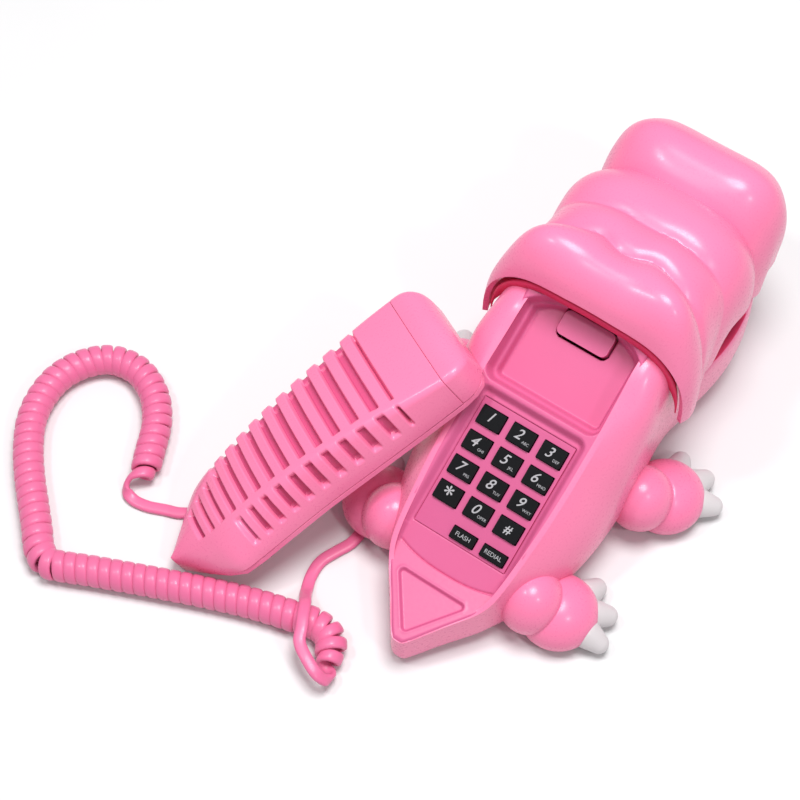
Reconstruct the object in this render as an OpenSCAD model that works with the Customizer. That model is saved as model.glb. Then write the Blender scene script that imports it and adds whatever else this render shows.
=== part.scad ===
// Crocodile-shaped desk telephone: the body is the base, the back and tail lift off as the handset.
// +Y runs forward to the snout, +X to the animal's right, +Z up. The origin is on the table under
// the middle of the body.

/* [Body] */
// Width of the body at its widest, between the legs
body_w = 82; // [78:1:88]
// Height of the body's bottom edge above the table
body_lift = 1.5; // [1:0.5:2.5]
// Thickness of the moulded walls
wall = 2.2; // [1.8:0.1:2.6]
// Slope of the cradle in degrees, rising to the head
slope = 28.5; // [26:0.5:31]
// Height of the cradle's rim above its floor
rim_h = 3.2; // [2.4:0.2:4]

/* [Head] */
// Height that the eyes stand above the brow
eye_h = 8.5; // [7:0.5:11]
// Height of the two nostril bulges
nostril_h = 7; // [4:0.5:8]
// Fullness of the two rings across the snout
ring_h = 2.6; // [1.5:0.1:3.5]

/* [Keypad] */
// Distance between columns of keys
key_dx = 13.5; // [13:0.1:14]
// Distance between rows of keys
key_dy = 10.8; // [10.4:0.1:11.2]
// Width of a key
key_w = 10.2; // [9.4:0.1:10.6]
// Height of a number key
key_h = 7.2; // [6.6:0.1:7.8]
// Height of the two keys in the bottom row
small_key_h = 4.6; // [4:0.1:5.4]
// How far a key stands above the faceplate
key_rise = 1.4; // [1.2:0.1:1.8]

/* [Legs] */
// Radius of a foot
foot_r = 15.5; // [14:0.5:16.5]
// Length of a claw outside the foot
claw_l = 7.5; // [6:0.5:9]

/* [Handset] */
// Length of the handset from its tail tip to its rounded end
handset_l = 141; // [138:1:144]
// Height of a rib on the handset's back
rib_h = 2.2; // [1.2:0.1:2.4]

/* [Cord] */
// Width of the flat four-wire cord
cord_w = 4.8; // [4.6:0.1:5]
// Thickness of the flat four-wire cord
cord_t = 2.4; // [2.2:0.1:2.6]
// Outer diameter of the curled stretch
curl_d = 12.4; // [12:0.2:13.2]

/* [Hidden] */

pink = "#f58fbf";
deep_pink = "#ef6fa8";
claw_white = "#e4dcdf";
fit = 0.3;

// ---------- shared shapes ----------

function flat(rows) = [for (r = rows) each r];
function ring_tris(a, b, c, d) = [[a, b, c], [a, c, d]];

// A wall between two grids of points that face each other, each grid a list of rows. The last row is
// closed across its middle line when nose is true, and the columns run round when loop is true.
module wall_between(outer, inner, loop = false, nose = false) {
    rows = len(outer);
    cols = len(outer[0]);
    n = rows * cols;
    last = loop ? cols - 1 : cols - 2;
    half = (cols - 1) / 2;
    function o(i, j) = i * cols + j % cols;
    function q(i, j) = n + o(i, j);
    skins = [for (i = [0 : rows - 2], j = [0 : last])
        each concat(ring_tris(o(i, j), o(i, j + 1), o(i + 1, j + 1), o(i + 1, j)),
                    ring_tris(q(i + 1, j), q(i + 1, j + 1), q(i, j + 1), q(i, j)))];
    first_edge = [for (j = [0 : last]) each ring_tris(q(0, j), q(0, j + 1), o(0, j + 1), o(0, j))];
    e = rows - 1;
    last_edge = nose ? [] : [for (j = [0 : last])
        each ring_tris(o(e, j), o(e, j + 1), q(e, j + 1), q(e, j))];
    side_edges = loop ? [] : [for (i = [0 : rows - 2])
        each concat(ring_tris(o(i, 0), o(i + 1, 0), q(i + 1, 0), q(i, 0)),
                    ring_tris(q(i, cols - 1), q(i + 1, cols - 1), o(i + 1, cols - 1), o(i, cols - 1)))];
    nose_skin = !nose ? [] : concat(
        [for (j = [0 : half - 2])
            each concat(ring_tris(o(e, j), o(e, j + 1), o(e, cols - 2 - j), o(e, cols - 1 - j)),
                        ring_tris(q(e, cols - 1 - j), q(e, cols - 2 - j), q(e, j + 1), q(e, j)))],
        [[o(e, half - 1), o(e, half), o(e, half + 1)], [q(e, half + 1), q(e, half), q(e, half - 1)]],
        ring_tris(o(e, 0), o(e, cols - 1), q(e, cols - 1), q(e, 0)));
    polyhedron(concat(flat(outer), flat(inner)),
               concat(skins, first_edge, last_edge, side_edges, nose_skin), convexity = 6);
}

// A closed solid through a list of rows that each run round
module stack(rows) {
    n = len(rows);
    cols = len(rows[0]);
    skins = [for (i = [0 : n - 2], j = [0 : cols - 1])
        each ring_tris(i * cols + j, i * cols + (j + 1) % cols,
                       (i + 1) * cols + (j + 1) % cols, (i + 1) * cols + j)];
    polyhedron(concat([for (r = rows) each r], [mean(rows[0]), mean(rows[n - 1])]),
        concat(skins,
            [for (j = [0 : cols - 1]) [(j + 1) % cols, j, n * cols]],
            [for (j = [0 : cols - 1]) [(n - 1) * cols + j, (n - 1) * cols + (j + 1) % cols, n * cols + 1]]),
        convexity = 6);
}
function mean(pts) = [for (k = [0 : 2]) sum([for (p = pts) p[k]]) / len(pts)];
function sum(v, i = 0) = i < len(v) ? v[i] + sum(v, i + 1) : 0;
function unit(v) = v / norm(v);

module rounded(w, h, r) {
    hull() for (sx = [-1, 1], sy = [-1, 1])
        translate([sx * (w / 2 - r), sy * (h / 2 - r)]) circle(r, $fn = 24);
}

// A rounded bar with straight sides, exact in its corners
module pad(w, h, r, t) {
    linear_extrude(t) {
        square([w - 2 * r, h], center = true);
        square([w, h - 2 * r], center = true);
        for (sx = [-1, 1], sy = [-1, 1])
            translate([sx * (w / 2 - r), sy * (h / 2 - r)]) circle(r, $fn = 32);
    }
}

// ---------- body wall ----------

// Stations along the body from tail to snout: place along Y, half widths at the rim, at the widest
// and at the bottom, rim height, and how far the bottom is set forward of the rim
tail_y = -97;
chin_y = 125;
half_w = body_w / 2;
stations = [
    [tail_y, 0, 0, 0, 20.2, 5.6],
    [-96.2, 2.4, 2.5, 1.4, 20.3, 5],
    [-92.5, 5, 5.2, 3.2, 20.9, 4.2],
    [-82, 12.2, 12.5, 7.8, 23, 3.2],
    [-71, 20.4, 20.8, 14.6, 25.5, 2.6],
    [-66, 23, 23.8, 17.6, 28.5, 2],
    [-60, 24.4, 27.2, 20.6, 32.4, 1.5],
    [-48, 25.8, half_w - 7.5, 26, 38.9, 0],
    [-36, 26.8, half_w - 3.2, 28.5, 45.5, 0],
    [-24, 27.3, half_w - 0.8, 30, 52, 0],
    [-12, 27.4, half_w, 31, 58.5, 0],
    [0, 27.4, half_w - 0.2, 31, 65, 0],
    [12, 27, half_w - 1.2, 30.5, 71.5, 0],
    [24, 26.6, half_w - 2.4, 29, 78, 0],
    [33, 26.6, half_w - 3.2, 28, 79, 0],
    [42, 28, half_w - 3.5, 27.5, 68, 0],
    [51, 33.5, half_w - 3, 28, 50, 0],
    [58, 37.2, half_w - 1.6, 28.5, 42, 0],
    [66, 39.2, half_w - 0.4, 28.5, 40, 0],
    [76, 39.8, half_w + 0.4, 28, 39.5, 0],
    [86, 39.2, half_w - 0.2, 27, 39.5, 0],
    [96, 37.4, half_w - 2.2, 25, 38.5, 0],
    [105, 34.6, half_w - 5.4, 22.5, 37.2, 0],
    [112, 30.4, 31.4, 19, 37.5, 0],
    [118, 24, 25, 15, 38, 0],
    [123, 14, 15, 9, 38.5, -1.5],
    [chin_y, 0, 0, 0, 38.5, -4],
];

// Rows of the wall from the rim down: how far up from the widest place, then round to the bottom
high_steps = [1, 0.93, 0.75, 0.5, 0.25];
low_steps = [90, 60, 30, 0];

function shrink(w, t) = w - t * min(1, w / 6);
function end_shift(y, t) = y <= -96 ? 1.6 * t : y >= 123 ? -t : 0;
function wide_z(s) = body_lift + (s[4] - body_lift) * (s[0] > 55 ? 0.62 : 0.4);
function low_point(s, a, t, side) = let (
        wb = shrink(s[3], t),
        ww = shrink(s[2], t),
        zw = wide_z(s))
    [side * (wb + (ww - wb) * sin(a)),
     s[0] + s[5] * (1 - sin(a)) + end_shift(s[0], t),
     zw - (zw - body_lift) * cos(a)];
// The wall leans straight in over the tail and has a full, rounded shoulder in the neck
function shoulder(y) = min(1, max(0, (y + 6) / 18));
function high_point(s, k, t, side) = let (
        f = shoulder(s[0]),
        wr = shrink(s[1], t),
        ww = shrink(s[2], t),
        zw = wide_z(s))
    [side * (wr + (ww - wr) * pow(1 - pow(k, 2 + 4 * f), 1 - 0.45 * f)), s[0] + end_shift(s[0], t),
     zw + (s[4] - zw) * k];
last_s = len(stations) - 1;
function around(f) = concat(
    [for (i = [0 : last_s]) f(stations[i], 1)],
    [for (i = [last_s - 1 : -1 : 1]) f(stations[i], -1)]);
function wall_rows(t) = concat(
    [for (k = high_steps) around(function(s, side) high_point(s, k, t, side))],
    [for (a = low_steps) around(function(s, side) low_point(s, a, t, side))]);

boss_top = 13;
shelf_z = 66;
module base_shell() {
    color(pink) difference() {
        union() {
            wall_between(wall_rows(0), wall_rows(wall), loop = true);
            // posts that the belly plate is screwed to, each with a rib to the wall
            for (p = base_screw_at) translate([p[0], p[1], plate_top]) {
                cylinder(d = 7, h = boss_top - plate_top, $fn = 32);
                for (sx = [-1, 1]) if (p[0] * sx >= 0) translate([sx * p[2] / 2, 0, 2])
                    cube([p[2], 2, 4], center = true);
            }
            // two shelves in the neck, for the hook's pin and the head's screws
            for (sx = [-1, 1]) translate([sx * (11 + 25.8) / 2, 44.5, shelf_z])
                translate([0, 0, 4.5]) cube([25.8 - 11, 8, 9], center = true);
        }
        // opening for the handset cord behind the rear left leg
        translate([jack_x, jack_y, jack_z]) cube([20, jack_w + 2 * fit, jack_h + 2 * fit], center = true);
        // opening for the line cord between the left legs
        translate([line_x, line_y, jack_z]) cube([30, jack_w + 2 * fit, jack_h + 2 * fit], center = true);
        for (p = base_screw_at) translate([p[0], p[1], 0]) cylinder(d = 2.6, h = 12, $fn = 32);
        for (p = head_screw_at) translate([p[0], p[1], shelf_z - 1]) cylinder(d = 3.4, h = 20, $fn = 32);
        on_cradle(pin_v, pin_w) translate([-30, 0, 0]) rotate([0, 90, 0]) cylinder(d = pin_d, h = 60, $fn = 48);
    }
}

// The wall's outside as a solid, grown a little: what the legs are cut away by
module body_envelope() {
    stack(wall_rows(-0.25));
}

// ---------- underside ----------

module rest_pad() {
    color("dimgray") linear_extrude(body_lift) difference() {
        polygon(bottom_outline(6));
        for (p = base_screw_at) translate([p[0], p[1]]) circle(4, $fn = 32);
        for (x = [-switch_x, switch_x]) translate([x, switch_y]) square([14, 8], center = true);
    }
}

function bottom_outline(t) = [for (p = around(function(s, side) low_point(s, 0, t, side)))
    if (abs(p[0]) > 0.3) [p[0], p[1]]];

plate_t = 2;
plate_top = body_lift + plate_t + 0.2;
// Place of each screw under the base, and how far the rib reaches from it
base_screw_at = [[0, -76, 12.8], [-20, -30, 12.8], [20, -30, 12.8], [-20, 40, 9.3], [20, 40, 9.3],
    [0, 104, 27.5]];
switch_x = 10;
switch_y = 70;

module belly_plate() {
    color(deep_pink) difference() {
        translate([0, 0, body_lift]) linear_extrude(plate_t) polygon(bottom_outline(wall + fit + 0.3));
        for (p = base_screw_at) translate([p[0], p[1], 0]) cylinder(d = 3.4, h = 20, $fn = 32);
        for (x = [-switch_x, switch_x]) translate([x, switch_y, body_lift])
            cube([10, 4, 20], center = true);
    }
}

module base_screws() {
    color("silver") for (p = base_screw_at) translate([p[0], p[1], 0]) {
        translate([0, 0, 0.1]) cylinder(d = 6, h = body_lift - 0.1, $fn = 32);
        translate([0, 0, body_lift]) cylinder(d = 3, h = 9, $fn = 32);
    }
}

// at is where the knob stands in its slot
module slide_switch(x, at) {
    translate([x + at, switch_y, body_lift]) {
        translate([0, 0, -0.6]) pad(3, 3, 0.5, 5.4);
        translate([0, 0, plate_t + 2.8]) pad(8, 5, 0.5, 2);
    }
}
module ringer_switch() { color("black") slide_switch(-switch_x, 0); }
module tone_switch() { color("black") slide_switch(switch_x, -2); }

module ringer() {
    color("black") translate([0, 14, body_lift + plate_t]) difference() {
        cylinder(d = 30, h = 9, $fn = 64);
        translate([0, 0, 7]) cylinder(d = 5, h = 3, $fn = 32);
    }
}

// ---------- cradle ----------

cradle_y = -31;
cradle_z = 44.5;
module on_cradle(v = 0, w = 0) {
    translate([0, cradle_y, cradle_z]) rotate([slope, 0, 0]) translate([0, v, w]) children();
}

face_w = 41;
face_l = 54.4;
face_t = 1.6;
tray_t = 2;
well_w = 48.6;
well_from = 33.4;
well_to = 74;
well_depth = 8;
well_r = 5;
tray_top = 80;

function tray_half(v) = lookup(v, [[-41, 21], [-33, 22], [-20, 23.5], [-6, 24.3], [8, 24.7], [80, 24.3]]);
tray_sides = [-41, -33, -20, -6, 8, tray_top];

module cradle_tray() {
    color(deep_pink) difference() {
        union() {
            on_cradle(0, -tray_t) linear_extrude(rim_h + tray_t) polygon(concat(
                [for (v = tray_sides) [tray_half(v), v]],
                [for (i = [len(tray_sides) - 1 : -1 : 0]) [-tray_half(tray_sides[i]), tray_sides[i]]]));
            // box of the well
            on_cradle((well_from + well_to) / 2, -well_depth - tray_t)
                pad(well_w - 0.6, well_to - well_from + 3, well_r, well_depth);
            tail_cover();
        }
        // the sloping sides down to the faceplate and the curved panel below it
        on_cradle() hull() {
            translate([0, -2, 0]) linear_extrude(0.01) square([2 * 21.2, 62], center = true);
            translate([0, -2, rim_h]) linear_extrude(1) square([2 * 24, 68], center = true);
        }
        on_cradle(0, -face_t) linear_extrude(10) square([face_w, face_l], center = true);
        on_cradle(0, -tray_t - 1) linear_extrude(10) square([face_w - 1.8, face_l - 1.8], center = true);
        // well with a stepped edge
        on_cradle((well_from + well_to) / 2, -well_depth)
            pad(well_w - 5, well_to - well_from - 5, well_r - 1, 20);
        on_cradle((well_from + well_to) / 2, -3)
            pad(well_w - 2, well_to - well_from - 2, well_r, 20);
        on_cradle((well_from + well_to) / 2, 0)
            pad(well_w, well_to - well_from, well_r, 20);
        // slot that the hook tab rises through
        on_cradle(tab_v, -well_depth - tray_t - 1) linear_extrude(10)
            square([tab_w + 1, tab_l + 2], center = true);
    }
}

// The flat end over the tail, with the three-cornered recess for the handset's tip
tail_from = -67;
tail_z = 25.6;
tail_slope = 10.5;
module on_tail(w = 0) {
    translate([0, tail_from, tail_z]) rotate([tail_slope, 0, 0]) translate([0, 0, w]) children();
}
module tail_cover() {
    difference() {
        on_tail(-tray_t) linear_extrude(tray_t + 0.6) polygon([[-20, 3.5], [20, 3.5], [19.9, 0],
            [17.3, -4.2], [9.9, -15.2], [2.8, -26], [-2.8, -26], [-9.9, -15.2], [-17.3, -4.2], [-19.9, 0]]);
        on_tail(-1) linear_extrude(5) hull() {
            for (sx = [-1, 1]) translate([sx * 12.6, -5.6]) circle(1.6, $fn = 24);
            translate([0, -22.6]) circle(1.6, $fn = 24);
        }
    }
}

module faceplate() {
    color(pink) on_cradle(0, -face_t + 0.1) difference() {
        linear_extrude(face_t - 0.1) square([face_w - 2 * fit, face_l - 2 * fit], center = true);
        for (k = keys) translate([k[0], k[1], -1]) linear_extrude(5)
            square([key_w + 2 * fit, k[2] + 2 * fit], center = true);
    }
}

// ---------- keys ----------

row_1 = 20.5;
keys = concat(
    [for (r = [0 : 3], c = [-1 : 1]) [c * key_dx, row_1 - r * key_dy, key_h]],
    [for (c = [0, 1]) [c * key_dx, row_1 - 4 * key_dy - 0.4, small_key_h]]);
key_travel = 1.1;
flange = 0.8;

module key(i) {
    color("#16161a") on_cradle(0, -face_t) translate([keys[i][0], keys[i][1], 0]) {
        translate([0, 0, -flange]) pad(key_w + 1.2, keys[i][2] + 1.2, 0.6, flange - 0.2);
        translate([0, 0, -0.1]) pad(key_w, keys[i][2], 0.8, face_t + key_rise + 0.1);
    }
}

module keypad_membrane() {
    color("gray") on_cradle(0, -face_t - flange - key_travel - 1.6) {
        linear_extrude(1) square([face_w - 3.6, face_l - 3.6], center = true);
        for (k = keys) translate([k[0], k[1], 0.9]) cylinder(d = 3.4, h = 0.4, $fn = 32);
    }
}

module main_board() {
    color("#2f6b3c") on_cradle(0, -face_t - flange - key_travel - 3.4) {
        linear_extrude(1.6) square([face_w - 3.6, 60], center = true);
        for (p = [[-10, 12], [8, -10]]) translate([p[0], p[1], -3]) linear_extrude(3.1)
            square([14, 8], center = true);
        for (p = [[12, 16], [-13, -14]]) translate([p[0], p[1], -8]) cylinder(d = 6, h = 8.1, $fn = 32);
    }
}

// ---------- hook ----------

tab_w = 22;
tab_l = 10;
tab_v = well_to - 2.5 - 0.5 - tab_l / 2;
tab_rise = 2.6;
pin_v = well_to + 5;
pin_d = 2.2;
pin_w = -well_depth - 4.5;
module hook_tab() {
    color(deep_pink) on_cradle() difference() {
        union() {
            translate([0, tab_v, -well_depth - tray_t - 1]) pad(tab_w, tab_l, 2.4, tray_t + 1 + tab_rise);
            translate([0, (tab_v + pin_v) / 2, -well_depth - tray_t - 3.8])
                linear_extrude(3) square([10, pin_v - tab_v], center = true);
            translate([-5, pin_v, pin_w]) rotate([0, 90, 0]) cylinder(d = 6, h = 10, $fn = 48);
        }
        translate([-6, pin_v, pin_w]) rotate([0, 90, 0]) cylinder(d = 2.4, h = 12, $fn = 48);
    }
}
module hook_pin() {
    color("silver") on_cradle(pin_v, pin_w) translate([-15, 0, 0]) rotate([0, 90, 0])
        cylinder(d = pin_d, h = 30, $fn = 48);
}
module hook_switch() {
    color("black") on_cradle(tab_v, -well_depth - tray_t - 11.5) linear_extrude(5)
        square([12, 6], center = true);
}

// ---------- jacks and plugs ----------

jack_w = 11;
jack_h = 7.6;
jack_d = 14;
jack_x = -33;
jack_y = -44;
jack_z = 7.4;
line_x = -36.8;
line_y = -17;
plug_w = 6.4;
plug_h = 5.4;
plug_l = 10.3;

// A modular socket, open to -X, with its mouth at the middle of its front face
module socket() {
    translate([jack_d / 2, 0, 0]) difference() {
        cube([jack_d, jack_w, jack_h], center = true);
        translate([-2, 0, 0]) cube([jack_d - 2, plug_w + 2 * fit, plug_h + 2 * fit], center = true);
    }
}
module plug() {
    translate([plug_l / 2 + 0.4, 0, 0]) cube([plug_l, plug_w, plug_h], center = true);
}
module cord_jack() { color("black") translate([jack_x, jack_y, jack_z]) socket(); }
module line_jack() { color("black") translate([line_x, line_y, jack_z]) socket(); }
module cord_plug_base() { color("white") translate([jack_x, jack_y, jack_z]) plug(); }

// ---------- legs ----------

// Thigh and foot centres on the right side, and the direction of the middle claw from forward
front_leg = [[43, 9, 17], [49, 19, 9], 26];
rear_leg = [[31.5, -51.5, 16], [41, -46.5, 9], 56];
sole_z = 3.4;
thigh_r = [12.5, 13, 14];
foot_rz = 13;
claw_step = 37;
claw_r = 6;
claw_tip = 4.1;

module ellipsoid(r) {
    hull() scale(r) sphere(1, $fn = 32);
}

module leg_right(l) {
    color(pink) difference() {
        union() {
            translate(l[0]) ellipsoid(thigh_r);
            translate(l[1]) ellipsoid([foot_r, foot_r, foot_rz]);
        }
        translate([0, 0, sole_z - 50]) cube([400, 400, 100], center = true);
        body_envelope();
        claw_set(l, 0.15);
    }
}

module claw_set(l, grow = 0) {
    for (i = [-1 : 1]) translate([l[1][0], l[1][1], 0]) rotate([0, 0, -l[2] - i * claw_step])
        intersection() {
            translate([0, foot_r - 2.5, sole_z + 2.4]) hull() {
                translate([0, 0, 1.4]) sphere(claw_r + grow, $fn = 24);
                translate([0, claw_l + 2.5 - claw_tip, 0]) sphere(claw_tip + grow, $fn = 24);
            }
            translate([-20, foot_r - 5.5 - grow, sole_z - grow]) cube([40, 40, 40]);
        }
}

module leg_rear_right() { leg_right(rear_leg); }
module leg_front_right() { leg_right(front_leg); }
// The left one is hollowed below for the handset cord and its plug
module leg_rear_left() {
    difference() {
        mirror([1, 0, 0]) leg_right(rear_leg);
        color(pink) translate([-38.5, jack_y - 1, 0]) cube([20, 13, 2 * (jack_z + jack_h / 2 + 0.6)], center = true);
    }
}
module leg_front_left() { mirror([1, 0, 0]) leg_right(front_leg); }
module claws_rear_right() { color(claw_white) claw_set(rear_leg); }
module claws_front_right() { color(claw_white) claw_set(front_leg); }
module claws_rear_left() { color(claw_white) mirror([1, 0, 0]) claw_set(rear_leg); }
module claws_front_left() { color(claw_white) mirror([1, 0, 0]) claw_set(front_leg); }

// ---------- head ----------

// Rows of the upper jaw from the open rear edge to the snout: place along Y, half width, height of
// the lower edge and height of the middle line
brow_y = 28;
head_rows = [
    [28, 44.5, 50, 88], [30.5, 45.4, 49.5, 92.6], [34, 46.2, 49, 95.6], [38, 46.2, 48.5, 97.4],
    [42, 45.8, 48, 98.4], [46, 45.2, 47.5, 98.6], [50, 44.2, 46.5, 98], [53, 43, 46, 96.8],
    [55.5, 42, 45.6, 95.6], [59, 42, 45.6, 95.4], [62, 41.6, 48, 95], [65, 41.2, 52.4, 94.4],
    [68.5, 40.8, 55.6, 93.4], [71.5, 40.2, 56.8, 92.2], [75, 40.6, 57, 92.4], [80, 41, 56, 92],
    [85, 40.6, 54, 91], [90, 39.4, 50.8, 89.4], [94, 38, 47, 87.8], [96, 37.4, 44.4, 87],
    [99, 37.8, 41.4, 87.8], [103, 38.6, 39.6, 88.8], [107, 39.4, 39, 89.6], [112, 39.8, 39.2, 89.8],
    [116, 39.4, 39.6, 89.2], [120.5, 37.4, 40.4, 87], [124.5, 33.4, 41.6, 83.4],
    [127.5, 27, 44, 79], [129.6, 18, 48, 73], [130.8, 8.5, 54, 66],
];
// Creases in front of the brow, between the two rings and behind the nostrils
head_creases = [55.5, 71.5, 96];
arch_n = 24;
arch_power = 2 / 2.9;

function spow(x, p) = sign(x) * pow(abs(x), p);
function bump(x, c, w) = exp(-pow((x - c) / w, 2));
// A soft ring between two creases
function ring(y, from, to) = y > from && y < to ? pow(sin(180 * (y - from) / (to - from)), 0.6) : 0;
// The crease in front of the brow curves back down the sides and dips a little between the eyes
function brow_edge(a) = let (u = abs(a - 90) / 90)
    57 - 17.5 * pow(u, 1.3) - 4 * exp(-pow(u / 0.06, 2));
function along_head(y, a) = y + (head_creases[0] - brow_edge(a)) * bump(y, 54, 15);
function snout_rise(y) = y > 112 ? bump(y, 112, 9.5) :
    y < head_creases[2] ? 0 : pow(sin(90 * (y - head_creases[2]) / (112 - head_creases[2])), 0.7);
function head_swell(y, a) =
    eye_h * (bump(a, 63, 23) + bump(a, 117, 23)) * ring(y, 27, head_creases[0])
    + ring_h * (ring(y, head_creases[0], head_creases[1]) + ring(y, head_creases[1], head_creases[2]))
      * (0.3 + 0.7 * sin(a))
    + nostril_h * snout_rise(y) * (0.35 + 0.65 * sin(a)) * (1.05 - 0.5 * bump(a, 90, 20));
function nose_push(y, a) = y < 106 ? 0 :
    3 * (bump(a, 55, 28) + bump(a, 125, 28)) * (1 - cos(90 * min(1, (y - 106) / 16)));
// The sides of the snout turn in towards the lip
function tuck(y, a) = 1 - 0.13 * bump(y, 113, 9) * pow(1 - sin(a), 2);
function head_row(y, k) = lookup(y, [for (r = head_rows) [r[0], r[k]]]);
function head_point(r, a) = let (
        y = along_head(r[0], a),
        g = head_swell(y, a),
        half = r[0] > 100 ? r[1] : head_row(y, 1),
        middle = r[0] > 100 ? r[3] : head_row(y, 3))
    [(half + 0.5 * g) * tuck(r[0], a) * spow(cos(a), arch_power), r[0] + nose_push(r[0], a),
     r[2] + (middle - r[2] + g) * spow(sin(a), arch_power)];
head_angles = [for (i = [0 : arch_n]) 180 * i / arch_n];
head_outer = [for (r = head_rows) [for (a = head_angles) head_point(r, a)]];

// The inside is the outside moved in along the surface's own normals
function grid_normal(g, i, j) = let (
        rows = len(g) - 1,
        cols = len(g[0]) - 1,
        du = g[min(i + 1, rows)][j] - g[max(i - 1, 0)][j],
        dv = g[i][min(j + 1, cols)] - g[i][max(j - 1, 0)])
    unit(cross(dv, du));
function moved_in(g, t) = [for (i = [0 : len(g) - 1])
    [for (j = [0 : len(g[0]) - 1]) g[i][j] + t * grid_normal(g, i, j)]];
head_screw_at = [[-20, 45], [20, 45]];
head_post_top = 101;

module head_shell() {
    color(pink) difference() {
        union() {
            wall_between(head_outer, moved_in(head_outer, wall), nose = true);
            for (p = head_screw_at) translate([p[0], p[1], shelf_z + 9.2])
                cylinder(d = 7, h = head_post_top - shelf_z - 9.2, $fn = 32);
        }
        for (p = head_screw_at) translate([p[0], p[1], shelf_z]) cylinder(d = 2.6, h = 24, $fn = 32);
    }
}

module head_screws() {
    color("silver") for (p = head_screw_at) translate([p[0], p[1], shelf_z]) {
        translate([0, 0, -2]) cylinder(d = 6, h = 2, $fn = 32);
        cylinder(d = 3, h = 22, $fn = 32);
    }
}

// Floor of the mouth, inside the lower jaw
mouth_rows = [[60, 36], [72, 37.4], [84, 37.2], [96, 35], [106, 31], [112, 26.6], [117, 20], [120, 13]];
mouth_z = 31;
module mouth_floor() {
    color("#b02a50") translate([0, 0, mouth_z]) linear_extrude(2) polygon(concat(
        [for (r = mouth_rows) [r[1], r[0]]],
        [for (i = [len(mouth_rows) - 1 : -1 : 0]) [-mouth_rows[i][1], mouth_rows[i][0]]]));
}

// ---------- handset ----------

// The handset lies off its cradle: tail tip on the table, big end over the body's left rim
handset_at = [-91.4, -112, 4.2];
handset_turn = -23.6;
handset_pitch = 24.7;
handset_roll = -17.8;
module on_handset() {
    translate(handset_at) rotate([0, 0, handset_turn]) rotate([handset_pitch, 0, 0])
        rotate([0, handset_roll, 0]) children();
}

// Rows from the tail tip to the seam of the rounded end: place along the handset, half width at the
// open side and at the back, and height of the back
seam_y = 128;
handset_plan = [
    [0, 0.8, 0.6, 5], [3, 4.2, 2.4, 6.2], [10, 12.2, 6.5, 8.8], [16.5, 19, 9.6, 11],
    [23, 23.6, 12.6, 13.2], [31, 24.2, 14.6, 15.6], [45, 24, 16.6, 18], [64, 24, 18.6, 19.6],
    [83, 25, 20.6, 19.4], [102, 26, 22.6, 18.4], [115, 26.6, 24.4, 17], [seam_y, 27, 25.6, 15.5],
];
function plan(y, k) = lookup(y, [for (r = handset_plan) [r[0], r[k]]]);
// Each rib has a steep side towards the tail and falls gently to the next one
rib_count = 13;
function rib_y(i) = 17 + 5.4 * i + 0.14 * i * (i - 1);
function side_depth(i) = min(1, max(0, (i - 2) / 3));
// Rows along the back: place, depth of the groove across the back, depth of the notch in each side
handset_ys = concat([[0.8, 0, 0], [4, 0, 0], [10, 0, 0], [16, 0, 0]],
    [for (i = [0 : rib_count - 1]) let (y = rib_y(i), p = rib_y(i + 1) - y) each [
        [y, 1, side_depth(i)], [y + 0.16 * p, 0, 0], [y + 0.6 * p, 0.3, 0.35 * side_depth(i)]]],
    [[rib_y(rib_count), 0.7, 0.7], [rib_y(rib_count) + 1, 0, 0], [118, 0, 0], [seam_y, 0, 0]]);

// Right half of a section across the back shell, from its edge up over the side and the smooth band
function half_section(y, dip, side) = let (
        wb = plan(y, 1),
        wt = plan(y, 2),
        h = plan(y, 3),
        band = min(3.4, wt * 0.2),
        notch = side * rib_h,
        dx = wb - wt)
    [[wb, 0], [wb - 0.06 * dx, 0.22 * h], [wb - 0.2 * dx, 0.42 * h],
     [wb - 0.3 * dx - 0.75 * notch, 0.48 * h], [wb - 0.55 * dx - notch, 0.7 * h],
     [wt + 0.1 * dx - 0.8 * notch, 0.88 * h - 0.5 * notch], [wt - 0.5 * band, 0.975 * h],
     [wt - 1.4 * band, h + 0.3], [wt - 1.4 * band - 0.5, h + 0.4 - dip * rib_h],
     [0.45 * (wt - 1.4 * band), h + 0.9 - dip * rib_h]];
function section(r, t) = let (
        y = r[0],
        s = half_section(y, r[1], r[2]),
        kx = 1 - min(1, plan(y, 2) / 8) * t / plan(y, 1),
        kz = 1 - t / (plan(y, 3) + 1))
    concat([for (p = s) [-p[0] * kx, y, p[1] * kz]],
           [[0, y, plan(y, 3) + 1.1 - r[1] * rib_h - t]],
           [for (i = [len(s) - 1 : -1 : 0]) [s[i][0] * kx, y, s[i][1] * kz]]);
handset_n = len(handset_ys) - 1;
handset_outer = [for (i = [handset_n : -1 : 0]) section(handset_ys[i], 0)];
handset_inner = [for (i = [handset_n : -1 : 0])
    section(i == 0 ? [handset_ys[0][0] + 3, 0, 0] : handset_ys[i], wall)];

module handset_back() {
    color(pink) on_handset() difference() {
        union() {
            wall_between(handset_outer, handset_inner, nose = true);
            for (p = handset_screw_at) translate([p[0], p[1], 0.2]) cylinder(d = 5, h = p[2], $fn = 24);
        }
        for (p = handset_screw_at) translate([p[0], p[1], -1]) cylinder(d = 1.8, h = 8, $fn = 24);
        handset_jack_room();
    }
}
module handset_jack_room() {
    translate([hjack_x, hjack_y, hjack_z])
        cube(2 * [jack_d + fit, jack_w / 2 + fit, jack_h / 2 + fit], center = true);
}

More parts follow.
